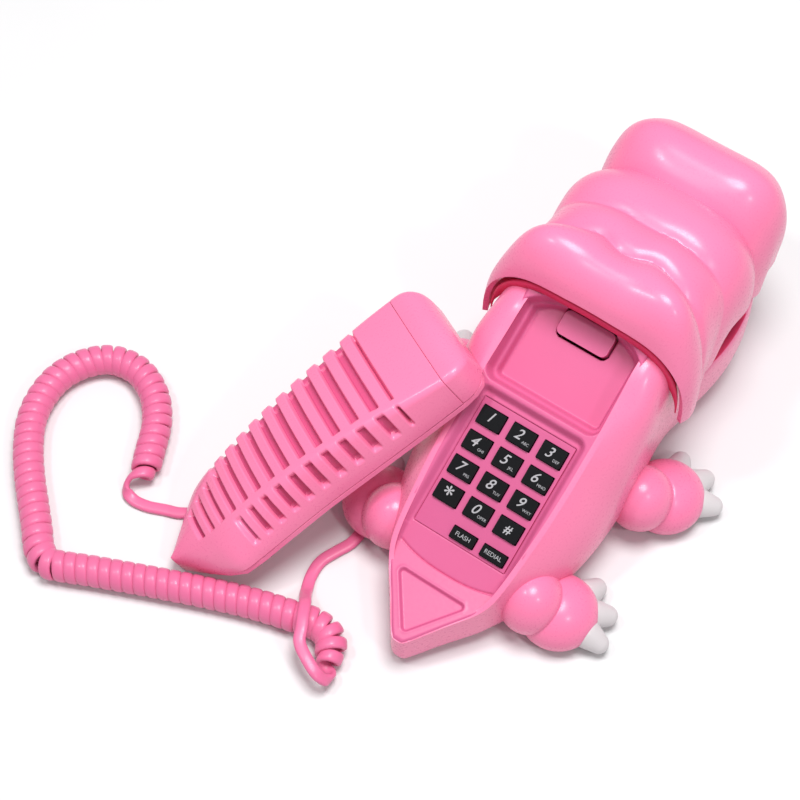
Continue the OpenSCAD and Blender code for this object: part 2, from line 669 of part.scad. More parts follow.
// The rounded end, closed round its nose
cap_steps = [0, 0.35, 0.62, 0.82, 0.94, 1];
function cap_rows(t) = [for (k = cap_steps) let (
        y = seam_y + 0.3 + k * (handset_l - seam_y - 0.3 - t),
        f = sqrt(1 - 0.62 * k * k * k),
        s = half_section(seam_y, 0, 0))
    concat([for (p = s) [(p[0] - t) * (0.25 + 0.75 * f), y, 1 + (p[1] - 1) * (1 - t / 16) * f]],
           [[0, y, 1 + (plan(seam_y, 3) + 0.1) * (1 - t / 16) * f]],
           [for (i = [len(s) - 1 : -1 : 0])
               [-(s[i][0] - t) * (0.25 + 0.75 * f), y, 1 + (s[i][1] - 1) * (1 - t / 16) * f]])];
module handset_cap() {
    color(pink) on_handset() wall_between(cap_rows(0), cap_rows(wall), nose = true);
}

front_t = 2.4;
module handset_front() {
    color(pink) on_handset() difference() {
        union() {
            translate([0, 0, -front_t - 0.2]) linear_extrude(front_t) polygon(concat(
                [for (y = front_ys) [plan(min(y, seam_y), 1) * front_k(y), y]],
                [for (i = [len(front_ys) - 1 : -1 : 0])
                    [-plan(min(front_ys[i], seam_y), 1) * front_k(front_ys[i]), front_ys[i]]]));
            // raised rings of the earpiece and the mouthpiece
            translate([0, ear_y, -front_t - 4]) cylinder(d = 38, h = 4.1, $fn = 64);
            translate([0, mic_y, -front_t - 2.4]) cylinder(d = 22, h = 2.5, $fn = 48);
        }
        translate([0, ear_y, -front_t - 5]) cylinder(d = 31, h = 2.6, $fn = 64);
        for (a = [0 : 60 : 300]) translate([6 * cos(a), ear_y + 6 * sin(a), -20])
            cylinder(d = 1.8, h = 30, $fn = 24);
        translate([0, ear_y, -20]) cylinder(d = 1.8, h = 30, $fn = 24);
        for (x = [-3, 0, 3]) translate([x, mic_y, -20]) cylinder(d = 1.6, h = 30, $fn = 24);
        for (p = handset_screw_at) translate([p[0], p[1], -20]) cylinder(d = 2.4, h = 40, $fn = 24);
        handset_jack_room();
    }
}
front_ys = [1, 3, 10, 16.5, 23, 31, 45, 64, 83, 102, 115, seam_y, 134, 138, 140.5];
function front_k(y) = y > 139 ? 0.72 : y > 136 ? 0.9 : y > 130 ? 0.97 : 1;
ear_y = 112;
mic_y = 38;
// Place of each screw in the handset, and the height of its post
handset_screw_at = [[0, 22, 11], [-16, 76, 17], [16, 76, 17]];

module earpiece() {
    color("dimgray") on_handset() translate([0, ear_y, 0.1]) {
        cylinder(d = 36, h = 4, $fn = 64);
        translate([0, 0, 3.9]) cylinder(d = 20, h = 6, $fn = 48);
    }
}
module microphone() {
    color("dimgray") on_handset() translate([0, mic_y, 0.1]) cylinder(d = 9.7, h = 6.5, $fn = 48);
}
module handset_screws() {
    color("silver") on_handset() for (p = handset_screw_at)
        translate([p[0], p[1], -front_t - 1.4]) {
            cylinder(d = 4, h = 1.1, $fn = 24);
            cylinder(d = 2, h = 8, $fn = 24);
        }
}

hjack_x = -20.5;
hjack_y = 34;
hjack_z = 1.2;
module at_handset_jack() {
    on_handset() translate([hjack_x, hjack_y, hjack_z]) children();
}
module handset_jack() { color("black") at_handset_jack() socket(); }
module cord_plug_handset() { color("white") at_handset_jack() plug(); }

// ---------- cord ----------

function spin_x(p, a) = [p[0], p[1] * cos(a) - p[2] * sin(a), p[1] * sin(a) + p[2] * cos(a)];
function spin_y(p, a) = [p[0] * cos(a) + p[2] * sin(a), p[1], p[2] * cos(a) - p[0] * sin(a)];
function spin_z(p, a) = [p[0] * cos(a) - p[1] * sin(a), p[0] * sin(a) + p[1] * cos(a), p[2]];
function from_handset(p) = handset_at
    + spin_z(spin_x(spin_y(p, handset_roll), handset_pitch), handset_turn);

// A cord along a route, w wide and t thick, its section squared off by the power
module cord(route, w, t, sides, power = 1) {
    n = len(route) - 1;
    stack([for (i = [0 : n]) let (
            along = unit(route[min(i + 1, n)] - route[max(i - 1, 0)]),
            across = unit(cross(along, [0, 0, 1])),
            up = cross(across, along))
        [for (k = [0 : sides - 1]) let (a = 360 * (k + 0.5) / sides)
            route[i] + across * spow(cos(a), power) * w / 2 + up * spow(sin(a), power) * t / 2]]);
}

// The curled stretch lies on the table: from the handset's end, round the bend, to the base's end
coil_z = curl_d / 2 + 0.1;
coil_route = [for (p = [
    [-126, -90], [-131, -79], [-137, -67], [-146, -57.5], [-158, -52.5], [-170, -54.5], [-178, -62],
    [-182.5, -72.5], [-182.5, -84], [-179, -95], [-172, -105.5], [-164, -114.5], [-154, -124],
    [-145.5, -132], [-140, -137.5], [-133.5, -140.5], [-126.5, -138], [-118, -134], [-104, -127.8],
    [-91, -122.2], [-76, -116], [-62, -110.6], [-51.5, -107.2], [-42, -104.6], [-33, -102.4],
    [-26, -103.2], [-21.6, -108], [-20, -114.5]]) [p[0], p[1], coil_z]];

// The flat lead from the coil over its last turns, across the table and under the rear left leg
base_route = [
    [-20, -113.5, coil_z], [-20.4, -119, 6], [-22.5, -123.2, 4.8], [-26, -124.2, 5.2],
    [-29, -121, 8], [-31, -115.5, 11.8], [-33, -110, 14.2], [-36, -104.5, 14.5], [-39.5, -99.5, 12.4],
    [-42.5, -95.5, 7.2], [-45, -91.5, 2.6], [-47.5, -85, 1.4], [-48, -78, 1.4], [-45.5, -71, 1.4],
    [-43, -65, 1.4], [-42.5, -58, 1.4], [-43.6, -52.6, 1.4], [-43.4, -48, 4.2], [-39.5, -44.4, 6.6],
    [-35.6, -44, jack_z], [-32.4, -44, jack_z]];

// The flat lead from the coil's other end to the plug in the handset
handset_route = concat(
    [[-126.4, -89, coil_z], [-127.2, -93.2, 4.2], [-124.6, -96.8, 2], [-119, -97, 1.4],
     [-112, -94.8, 1.4], [-106, -92.4, 1.4]],
    [for (p = [[-20.4, 16, -4.3], [-23.6, 21, -4.8], [-26.2, 26, -3.6], [-27, 30.6, -1],
               [-24.4, 33.6, 0.9], [hjack_x - 0.1, hjack_y, hjack_z]]) from_handset(p)]);

module cord_coil() { color(deep_pink) cord(coil_route, curl_d, curl_d, 12); }
module cord_lead_base() { color(deep_pink) cord(base_route, cord_w, cord_t, 8, 0.6); }
module cord_lead_handset() { color(deep_pink) cord(handset_route, cord_w, cord_t, 8, 0.6); }

rest_pad();
belly_plate();
base_shell();
cradle_tray();
faceplate();
key(0);  // key_1
key(1);  // key_2
key(2);  // key_3
key(3);  // key_4
key(4);  // key_5
key(5);  // key_6
key(6);  // key_7
key(7);  // key_8
key(8);  // key_9
key(9);  // key_star
key(10);  // key_0
key(11);  // key_hash
key(12);  // key_flash
key(13);  // key_redial
keypad_membrane();
main_board();
hook_tab();
hook_pin();
hook_switch();
ringer();
line_jack();
cord_jack();
ringer_switch();
tone_switch();
leg_front_left();
leg_front_right();
leg_rear_left();
leg_rear_right();
claws_front_left();
claws_front_right();
claws_rear_left();
claws_rear_right();
head_shell();
mouth_floor();
head_screws();
base_screws();
handset_back();
handset_cap();
handset_front();
earpiece();
microphone();
handset_jack();
handset_screws();
cord_coil();
cord_lead_base();
cord_lead_handset();
cord_plug_base();
cord_plug_handset();
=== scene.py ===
"""Looks of the crocodile telephone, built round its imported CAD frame.

Shapes are worked out in millimetres in the CAD's frame (+Y forward to the snout, +X to the animal's
right, +Z up) and turned into metres when their meshes are made.
"""

import math

import bmesh
import bpy
import numpy as np
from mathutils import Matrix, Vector


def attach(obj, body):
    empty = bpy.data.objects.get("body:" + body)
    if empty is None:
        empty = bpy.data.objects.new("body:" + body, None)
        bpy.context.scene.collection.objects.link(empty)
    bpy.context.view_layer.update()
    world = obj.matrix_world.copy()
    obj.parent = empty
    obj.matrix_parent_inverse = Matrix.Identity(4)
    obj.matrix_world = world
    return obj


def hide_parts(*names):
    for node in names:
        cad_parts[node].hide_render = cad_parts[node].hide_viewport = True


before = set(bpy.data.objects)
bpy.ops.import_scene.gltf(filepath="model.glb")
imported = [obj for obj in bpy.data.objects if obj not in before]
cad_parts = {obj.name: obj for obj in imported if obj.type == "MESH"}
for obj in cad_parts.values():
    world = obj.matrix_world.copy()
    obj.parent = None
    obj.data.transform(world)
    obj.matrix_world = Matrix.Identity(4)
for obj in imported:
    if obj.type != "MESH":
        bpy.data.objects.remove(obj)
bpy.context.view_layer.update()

MM = 0.001
BASE, HANDSET = "base", "handset"

# ---------------------------------------------------------------- camera

AIM = Vector((-64.5, 0, 0)) * MM
CAMERA_AT = Vector((177.4, -349.4, 736.1)) * MM
camera = bpy.data.objects.new("camera", bpy.data.cameras.new("camera"))
bpy.context.scene.collection.objects.link(camera)
camera.location = CAMERA_AT
camera.rotation_mode = "QUATERNION"
camera.rotation_quaternion = (AIM - CAMERA_AT).to_track_quat("-Z", "Y")
camera.data.sensor_width = 36
camera.data.lens = 93.71
camera.data.clip_start = 0.05
camera.data.clip_end = 20
bpy.context.scene.camera = camera
bpy.context.scene.view_settings.view_transform = "Standard"

# ---------------------------------------------------------------- shared maths


def unit(v):
    return v / np.maximum(np.linalg.norm(v, axis=-1, keepdims=True), 1e-12)


def smooth_line(points, per, closed=False):
    """A centripetal Catmull-Rom line through the rows of points, with per steps between each two."""
    p = np.asarray(points, float)
    ends = (p[-1:], p[:2]) if closed else (2 * p[:1] - p[1:2], 2 * p[-1:] - p[-2:-1])
    q = np.vstack([ends[0], p, ends[1]])
    out = []
    for i in range(len(p) if closed else len(p) - 1):
        a, b, c, d = q[i:i + 4]
        ta = 0.0
        tb = ta + max(np.linalg.norm(b - a), 1e-6) ** 0.5
        tc = tb + max(np.linalg.norm(c - b), 1e-6) ** 0.5
        td = tc + max(np.linalg.norm(d - c), 1e-6) ** 0.5
        t = np.linspace(tb, tc, per, endpoint=False)[:, None]
        ab = ((tb - t) * a + (t - ta) * b) / (tb - ta)
        bc = ((tc - t) * b + (t - tb) * c) / (tc - tb)
        cd = ((td - t) * c + (t - tc) * d) / (td - tc)
        abc = ((tc - t) * ab + (t - ta) * bc) / (tc - ta)
        bcd = ((td - t) * bc + (t - tb) * cd) / (td - tb)
        out.append(((tc - t) * abc + (t - tb) * bcd) / (tc - tb))
    if not closed:
        out.append(p[-1:])
    return np.vstack(out)


def arc_length(line):
    return np.concatenate([[0], np.cumsum(np.linalg.norm(np.diff(line, axis=0), axis=1))])


def spaced(line, count):
    """count points evenly along a line."""
    s = arc_length(line)
    at = np.linspace(0, s[-1], count)
    return np.stack([np.interp(at, s, line[:, k]) for k in range(line.shape[1])], axis=1)


def ramp(x, low, high):
    """0 below low, 1 above high and smooth between them."""
    t = np.clip((x - low) / (high - low), 0, 1)
    return t * t * (3 - 2 * t)


def bump(x, centre, width):
    return np.exp(-((x - centre) / width) ** 2)


def spow(x, p):
    return np.sign(x) * np.abs(x) ** p


def rounded_box(x, y, cx, cy, w, h, r):
    """Signed distance to a rounded rectangle w by h."""
    qx = np.abs(x - cx) - w / 2 + r
    qy = np.abs(y - cy) - h / 2 + r
    return np.hypot(np.maximum(qx, 0), np.maximum(qy, 0)) + np.minimum(np.maximum(qx, qy), 0) - r


def rotation(axis, degrees):
    a = math.radians(degrees)
    c, s = math.cos(a), math.sin(a)
    return np.array({"x": [[1, 0, 0], [0, c, -s], [0, s, c]],
                     "y": [[c, 0, s], [0, 1, 0], [-s, 0, c]],
                     "z": [[c, -s, 0], [s, c, 0], [0, 0, 1]]}[axis])


# ---------------------------------------------------------------- places shared with the CAD

SLOPE, SLOPE_COS, SLOPE_SIN = 28.5, 0.8788, 0.4772
CRADLE_AT = np.array([0, -31, 44.5])
TAIL_AT = np.array([0, -67, 25.6])
TAIL_SLOPE, TAIL_COS = 10.5, 0.983
HANDSET_AT = np.array([-91.4, -112, 4.2])
HANDSET_TURN = rotation("z", -23.6) @ rotation("x", 24.7) @ rotation("y", -17.8)
BODY_LIFT = 1.5
WALL = 2.2


def on_cradle(p):
    return np.asarray(p, float) @ rotation("x", SLOPE).T + CRADLE_AT


def on_tail(p):
    return np.asarray(p, float) @ rotation("x", TAIL_SLOPE).T + TAIL_AT


def on_handset(p):
    return np.asarray(p, float) @ HANDSET_TURN.T + HANDSET_AT


# ---------------------------------------------------------------- meshes


def make(name, verts, faces, body, material, replaced=()):
    """A smooth-shaded mesh piece from points in millimetres."""
    mesh = bpy.data.meshes.new(name)
    mesh.from_pydata((np.asarray(verts) * MM).tolist(), [], [tuple(int(i) for i in f) for f in faces])
    mesh.validate()
    outward = bmesh.new()
    outward.from_mesh(mesh)
    bmesh.ops.recalc_face_normals(outward, faces=outward.faces)
    outward.to_mesh(mesh)
    outward.free()
    mesh.polygons.foreach_set("use_smooth", [True] * len(mesh.polygons))
    piece = bpy.data.objects.new(name, mesh)
    bpy.context.scene.collection.objects.link(piece)
    mesh.materials.append(material)
    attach(piece, body)
    if replaced:
        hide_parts(*replaced)
    return piece


def grid_faces(rows, cols, around=False, over=False, start=0):
    """Quads of a grid of points. around closes each row and over closes the columns."""
    i = np.arange(rows if over else rows - 1)[:, None]
    j = np.arange(cols if around else cols - 1)[None, :]
    a = i * cols + j
    b = i * cols + (j + 1) % cols
    c = (i + 1) % rows * cols + (j + 1) % cols
    d = (i + 1) % rows * cols + j
    return (np.stack([a, b, c, d], axis=-1).reshape(-1, 4) + start).tolist()


def tube_faces(rows, cols, start=0):
    """A tube of rows rings of cols points, closed at both ends."""
    first, last = start, start + (rows - 1) * cols
    return grid_faces(rows, cols, around=True, start=start) + [
        list(range(first, first + cols))[::-1], list(range(last, last + cols))]


def dome_faces(rows, cols):
    """An arched sheet with its last row filled in."""
    last = (rows - 1) * cols
    return [f[::-1] for f in grid_faces(rows, cols)] + [list(range(last, last + cols))]


def grid_normals(g):
    return unit(np.cross(np.gradient(g, axis=1), np.gradient(g, axis=0)))


def weld(piece):
    m = piece.modifiers.new("weld", "WELD")
    m.merge_threshold = 0.02 * MM


def bevel(piece, width, angle=45, segments=3):
    m = piece.modifiers.new("bevel", "BEVEL")
    m.width = width * MM
    m.segments = segments
    m.limit_method = "ANGLE"
    m.angle_limit = math.radians(angle)
    m.miter_outer = "MITER_ARC"


def even_shading(piece):
    m = piece.modifiers.new("shading", "WEIGHTED_NORMAL")
    m.keep_sharp = True
    m.weight = 60


def paint_inner_shade(piece, material):
    """Gives a shell's inner skin a deeper red that is painted shade."""
    piece.data.materials.append(material)
    if "wall" in piece.modifiers:
        piece.modifiers["wall"].material_offset = 1


def thicken(piece, thickness):
    m = piece.modifiers.new("wall", "SOLIDIFY")
    m.thickness = thickness * MM
    m.offset = -1
    m.use_rim = True


def box_cutter(name, centre, size, to_place=lambda p: np.asarray(p, float)):
    """A hidden box that a Boolean cuts with."""
    s = np.array([[x, y, z] for x in (-1, 1) for y in (-1, 1) for z in (-1, 1)]) / 2
    verts = to_place(s * np.asarray(size) + np.asarray(centre))
    faces = [(0, 1, 3, 2), (4, 6, 7, 5), (0, 4, 5, 1), (2, 3, 7, 6), (0, 2, 6, 4), (1, 5, 7, 3)]
    mesh = bpy.data.meshes.new(name)
    mesh.from_pydata((verts * MM).tolist(), [], faces)
    return bpy.data.objects.new(name, mesh)


def cut(piece, cutters):
    """Cuts boxes out of a piece, and applies the cut."""
    for c in cutters:
        bpy.context.scene.collection.objects.link(c)
        m = piece.modifiers.new("cut", "BOOLEAN")
        m.operation = "DIFFERENCE"
        m.solver = "EXACT"
        m.object = c
    bpy.context.view_layer.update()
    made = bpy.data.meshes.new_from_object(
        piece.evaluated_get(bpy.context.evaluated_depsgraph_get()))
    piece.modifiers.clear()
    piece.data = made
    for c in cutters:
        bpy.data.objects.remove(c)


# ---------------------------------------------------------------- materials


def plastic(name, colour, deep, roughness=0.3, speckle=0.18, mottle=0.5, coat=0.12,
            grain=900, bump_height=0.002, shine=0.35):
    """Moulded plastic: a base colour that drifts towards a deeper one, and a fine grain.

    speckle is how much the grain varies the gloss, mottle how far the colour drifts, grain how many
    flecks there are to a metre, and bump_height how high they stand, in millimetres.
    """
    m = bpy.data.materials.new(name)
    m.use_nodes = True
    n, links = m.node_tree.nodes, m.node_tree.links
    shader = n["Principled BSDF"]
    place = n.new("ShaderNodeTexCoord")

    def noise(scale, detail, rough=0.5):
        t = n.new("ShaderNodeTexNoise")
        t.inputs["Scale"].default_value = scale
        t.inputs["Detail"].default_value = detail
        t.inputs["Roughness"].default_value = rough
        links.new(place.outputs["Object"], t.inputs["Vector"])
        return t

    drift = noise(28, 3)
    flecks = noise(grain, 2, 0.6)
    mix = n.new("ShaderNodeMix")
    mix.data_type = "RGBA"
    mix.inputs[6].default_value = (*colour, 1)
    mix.inputs[7].default_value = (*deep, 1)
    span = n.new("ShaderNodeMapRange")
    span.inputs["From Min"].default_value = 0.35
    span.inputs["From Max"].default_value = 0.75
    span.inputs["To Max"].default_value = mottle
    links.new(drift.outputs["Fac"], span.inputs["Value"])
    links.new(span.outputs["Result"], mix.inputs[0])
    links.new(mix.outputs[2], shader.inputs["Base Color"])

    gloss = n.new("ShaderNodeMapRange")
    gloss.inputs["From Min"].default_value = 0.3
    gloss.inputs["From Max"].default_value = 0.7
    gloss.inputs["To Min"].default_value = roughness * (1 - speckle)
    gloss.inputs["To Max"].default_value = roughness * (1 + speckle)
    links.new(flecks.outputs["Fac"], gloss.inputs["Value"])
    links.new(gloss.outputs["Result"], shader.inputs["Roughness"])

    relief = n.new("ShaderNodeBump")
    relief.inputs["Strength"].default_value = 0.35
    relief.inputs["Distance"].default_value = bump_height * MM
    links.new(flecks.outputs["Fac"], relief.inputs["Height"])
    links.new(relief.outputs["Normal"], shader.inputs["Normal"])

    shader.inputs["Coat Weight"].default_value = coat
    shader.inputs["Coat Roughness"].default_value = 0.16
    shader.inputs["IOR"].default_value = 1.49
    shader.inputs["Specular IOR Level"].default_value = shine
    return m


def metal(name, colour):
    deep = tuple(c * 0.85 for c in colour)
    m = plastic(name, colour, deep, 0.3, 0.3, 0.4, 0, 1400, 0.004, 0.5)
    m.node_tree.nodes["Principled BSDF"].inputs["Metallic"].default_value = 1
    return m


pink = plastic("pink_plastic", (0.86, 0.208, 0.385), (0.84, 0.18, 0.35))
satin = plastic("satin_pink", (0.58, 0.10, 0.25), (0.56, 0.09, 0.23), 0.42, 0.15, 0.4, 0.05)
deep_pink = plastic("deep_pink_plastic", (0.64, 0.118, 0.275), (0.62, 0.105, 0.25), 0.4, 0.18, 0.4, 0.06)
# painted shade: a deeper pink for the bottoms of grooves
painted_groove_shade = plastic("painted_groove_shade", (0.62, 0.088, 0.225), (0.60, 0.078, 0.20), 0.4, 0.18, 0.4, 0.05)
# painted shade: a deep red for inner skins and the hollows under the head
painted_inner_shade = plastic("painted_inner_shade", (0.78, 0.04, 0.14), (0.70, 0.03, 0.11), 0.5, 0.2, 0.5, 0)
claw_white = plastic("claw_plastic", (0.62, 0.59, 0.60), (0.55, 0.50, 0.52), 0.38, 0.2, 0.6, 0.1)
key_black = plastic("key_plastic", (0.0035, 0.004, 0.005), (0.006, 0.006, 0.008), 0.5, 0.3, 0.6, 0,
                    shine=0.12)
# painted shade: a dark red for the mouth's floor, which lies in shade between the jaws
mouth_shade_red = plastic("mouth_plastic", (0.46, 0.012, 0.045), (0.36, 0.008, 0.03), 0.5, 0.2, 0.5, 0)
vinyl = plastic("cord_vinyl", (0.74, 0.155, 0.32), (0.70, 0.135, 0.29), 0.38, 0.2, 0.5, 0.12, 600)
clear = plastic("plug_plastic", (0.72, 0.68, 0.66), (0.66, 0.62, 0.6), 0.2, 0.2, 0.3, 0.3)
rubber = plastic("foam_rubber", (0.045, 0.04, 0.042), (0.03, 0.028, 0.03), 0.85, 0.15, 0.6, 0, 1500, 0.05)
grey_rubber = plastic("grey_rubber", (0.22, 0.22, 0.23), (0.18, 0.18, 0.19), 0.6, 0.2, 0.5, 0)
board = plastic("board_green", (0.02, 0.12, 0.045), (0.015, 0.09, 0.035), 0.4, 0.3, 0.5, 0.1)
black = plastic("black_plastic", (0.012, 0.012, 0.013), (0.02, 0.02, 0.021), 0.4, 0.3, 0.5, 0.05)
steel = metal("screw_steel", (0.62, 0.62, 0.63))
ink = plastic("legend_ink", (0.38, 0.38, 0.40), (0.33, 0.33, 0.35), 0.5, 0.1, 0.4, 0)
floor_white = plastic("floor_paper", (0.74, 0.74, 0.745), (0.73, 0.73, 0.735), 0.9, 0.05, 0.5, 0, 300, 0.02)

# ---------------------------------------------------------------- cord

CURL_D, CORD_W, CORD_T = 12.4, 4.8, 2.4
OFF_TABLE = 0.1
CURL_Z = CURL_D / 2 + OFF_TABLE
CURL_R = (CURL_D - CORD_T) / 2
COIL_XY = [
    (-126, -90), (-131, -79), (-137, -67), (-146, -57.5), (-158, -52.5), (-170, -54.5), (-178, -62),
    (-182.5, -72.5), (-182.5, -84), (-179, -95), (-172, -105.5), (-164, -114.5), (-154, -124),
    (-145.5, -132), (-140, -137.5), (-133.5, -140.5), (-126.5, -138), (-118, -134), (-104, -127.8),
    (-91, -122.2), (-76, -116), (-62, -110.6), (-51.5, -107.2), (-42, -104.6), (-33, -102.4),
    (-26, -103.2), (-21.6, -108), (-20, -114.5)]
HANDSET_LEAD = [(-106, -92.4, 1.4), (-112, -94.8, 1.4), (-119, -97.6, 1.4), (-125.6, -98.4, 1.8)]
INTO_HANDSET = [(-20.6, 34, 1.2), (-24.4, 33.6, 0.9), (-27, 30.6, -1), (-26.2, 26, -3.6),
                (-23.6, 21, -4.8), (-20.4, 16, -4.3)]
# where the handset's lead meets the coil, and the open ring that the coil's other end makes
JOIN_COIL = [(-130.2, -96.6, 3.4)]
END_RING = [(-15.2, -118.6, 6.6), (-18.4, -120.4, 11.2), (-24.4, -118.4, 12.9)]
BASE_LEAD = [(-31.5, -114, 13.6), (-34, -109, 14.4), (-36.6, -104.5, 14.4), (-39.5, -99.5, 12.4),
             (-42.5, -95.5, 7.2), (-45, -91.5, 2.6), (-47.5, -85, 1.4), (-48, -78, 1.4),
             (-45.5, -71, 1.4), (-43, -65, 1.4), (-42.5, -58, 1.4), (-43.6, -52.6, 1.4),
             (-43.4, -48, 4.2), (-39.5, -44.4, 6.6), (-35.6, -44, 7.4), (-32.4, -44, 7.4)]
# steps between two points of a lead, and how many steps of the coil a lead's smooth line runs along
LEAD_STEPS, SHARED = 8, 2
TURNS = 66
PER_TURN = 16
# the coil eases into the leads over so many points each way, in so many rounds
REACH, ROUNDS = 20, 20
# length over which a lead's flat side turns from the coil's to its own
TWIST_L = 16


def helix():
    """Points of the curled stretch, and the way out from the coil's middle line at each."""
    line = spaced(smooth_line([(x, y, CURL_Z) for x, y in COIL_XY], 12), TURNS * PER_TURN + 1)
    along = unit(np.gradient(line, axis=0))
    side = unit(np.cross(along, [0, 0, 1]))
    up = np.cross(side, along)
    turn = math.pi - 2 * math.pi * np.arange(len(line))[:, None] / PER_TURN
    out = np.cos(turn) * side + np.sin(turn) * up
    return line + CURL_R * out, out


def cord_path():
    """The cord's whole middle line, from the handset's jack to the base's, and its flat side's normal."""
    curl, out = helix()
    shared = SHARED * LEAD_STEPS + 1
    cut_at = len(curl) - SHARED - 1
    before = np.vstack([on_handset(INTO_HANDSET), HANDSET_LEAD, JOIN_COIL, curl[:SHARED + 1]])
    after = np.vstack([curl[cut_at - SHARED:cut_at + 1], END_RING, BASE_LEAD])
    lead_in = smooth_line(before, LEAD_STEPS)[:-shared]
    lead_out = smooth_line(after, LEAD_STEPS)[shared:]
    path = np.vstack([lead_in, curl[:cut_at + 1], lead_out])
    flat = np.zeros_like(path)
    flat[:] = (0, 0, 1)
    first, last = len(lead_in), len(lead_in) + cut_at + 1
    flat[first:last] = out[:cut_at + 1]
    flat[:(len(INTO_HANDSET) - 1) * LEAD_STEPS] = HANDSET_TURN @ np.array([0, 0, 1])
    # the middle line runs smoothly where a lead becomes the coil
    for edge in (first, last - 1):
        near = np.arange(edge - REACH, edge + REACH + 1)
        ease = 0.25 * ramp(REACH - np.abs(near - edge), 0, REACH)[:, None]
        for _ in range(ROUNDS):
            path[near] += (path[near - 1] + path[near + 1] - 2 * path[near]) * ease
    # the flat side turns smoothly there too
    s = arc_length(path)
    for edge, sign in ((first, -1), (last - 1, 1)):
        away = (s - s[edge]) * sign
        near = (away > 0) & (away < TWIST_L)
        w = ramp(away[near], 0, TWIST_L)[:, None]
        flat[near] = flat[edge] * (1 - w) + flat[near] * w
    return path, flat


# points of the cord's section, and how square its wide and thin sides are
SECTION, WIDE_POWER, THIN_POWER = 12, 0.62, 0.75


def flat_tube(path, flat):
    """A rounded flat section, CORD_W by CORD_T, swept along path."""
    along = unit(np.gradient(path, axis=0))
    across = unit(np.cross(along, flat))
    up = np.cross(across, along)
    a = 2 * math.pi * (np.arange(SECTION) + 0.5) / SECTION
    wide = spow(np.cos(a), WIDE_POWER) * CORD_W / 2
    thin = spow(np.sin(a), THIN_POWER) * CORD_T / 2
    rings = path[:, None] + across[:, None] * wide[:, None] + up[:, None] * thin[:, None]
    rings[..., 2] = np.maximum(rings[..., 2], OFF_TABLE)
    return rings.reshape(-1, 3), tube_faces(*rings.shape[:2])


path, flat = cord_path()
verts, faces = flat_tube(path, flat)
cord = make("cord", verts, faces, BASE, vinyl,
            ("cord_coil", "cord_lead_base", "cord_lead_handset"))

# ---------------------------------------------------------------- body wall

HALF_W = 41
# along Y: half widths of the rim, of the widest place and of the sole, the rim's height, and how far
# forward the sole lies of the rim
STATIONS = np.array([
    (-95.6, 0, 0, 0, 20.2, 4.2), (-95, 2.4, 2.5, 1.4, 20.3, 3.8), (-92, 5, 5.2, 3.2, 20.9, 3.2),
    (-82, 12.2, 12.5, 7.8, 23, 3.2),
    (-71, 20.4, 20.8, 14.6, 25.5, 2.6), (-66, 23, 23.8, 17.6, 28.5, 2),
    (-60, 24.4, 27.2, 20.6, 32.4, 1.5), (-48, 25.8, HALF_W - 7.5, 26, 38.9, 0),
    (-36, 26.8, HALF_W - 3.2, 28.5, 45.5, 0), (-24, 27.3, HALF_W - 0.8, 30, 52, 0),
    (-12, 27.4, HALF_W, 31, 58.5, 0), (0, 27.4, HALF_W - 0.2, 31, 65, 0),
    (12, 27, HALF_W - 1.2, 30.5, 71.5, 0), (24, 26.6, HALF_W - 2.4, 29, 78, 0),
    (33, 26.6, HALF_W - 3.2, 28, 79, 0), (42, 28, HALF_W - 3.5, 27.5, 68, 0),
    (51, 33.5, HALF_W - 3, 28, 50, 0), (58, 37.2, HALF_W - 1.6, 28.5, 42, 0),
    (66, 39.2, HALF_W - 0.4, 28.5, 40, 0), (76, 39.8, HALF_W + 0.4, 28, 39.5, 0),
    (86, 39.2, HALF_W - 0.2, 27, 39.5, 0), (96, 37.4, HALF_W - 2.2, 25, 38.5, 0),
    (105, 34.6, HALF_W - 5.4, 22.5, 37.2, 0), (112, 30.4, 31.4, 19, 37.5, 0),
    (118, 24, 25, 15, 38, 0), (123, 14, 15, 9, 38.5, -1.5), (125, 0, 0, 0, 38.5, -4)])
HIGH = np.array([1, 0.998, 0.993, 0.985, 0.97, 0.95, 0.925, 0.895, 0.86, 0.82, 0.77, 0.7, 0.6, 0.5,
                 0.38, 0.25, 0.12, 0])
LOW = np.linspace(90, 0, 13)[1:]


def wall_row(t, high=None, low=None):
    """One ring of the wall, moved in by t: at a share high above the widest place, or low degrees."""
    y, rim, widest, bottom, top, shift = STATIONS.T

    def less(w):
        return w - t * np.minimum(1, w / 6)

    # the widest place is higher up in the jaw, and the two ends move in along Y
    mid = BODY_LIFT + (top - BODY_LIFT) * np.where(y > 55, 0.62, 0.4)
    end = np.where(y < -94.5, 1.6 * t, np.where(y >= 123, -t, 0))
    if high is not None:
        # straight over the tail, with a full, rounded shoulder in the neck
        full = np.clip((y + 6) / 18, 0, 1)
        x = less(rim) + (less(widest) - less(rim)) * (1 - high ** (2 + 4 * full)) ** (1 - 0.45 * full)
        right = np.stack([x, y + end, mid + (top - mid) * high], axis=1)
    else:
        a = math.radians(low)
        x = less(bottom) + (less(widest) - less(bottom)) * math.sin(a)
        right = np.stack([x, y + shift * (1 - math.sin(a)) + end,
                          mid - (mid - BODY_LIFT) * math.cos(a)], axis=1)
    left = right[-2:0:-1] * (-1, 1, 1)
    return smooth_line(np.vstack([right, left]), 5, closed=True)


def wall_rows(t):
    return [wall_row(t, high=k) for k in HIGH] + [wall_row(t, low=a) for a in LOW]


rings = np.array(wall_rows(0) + wall_rows(WALL)[::-1])
body = make("body_wall", rings.reshape(-1, 3), grid_faces(*rings.shape[:2], around=True, over=True),
            BASE, pink, ("base_shell",))
paint_inner_shade(body, painted_inner_shade)
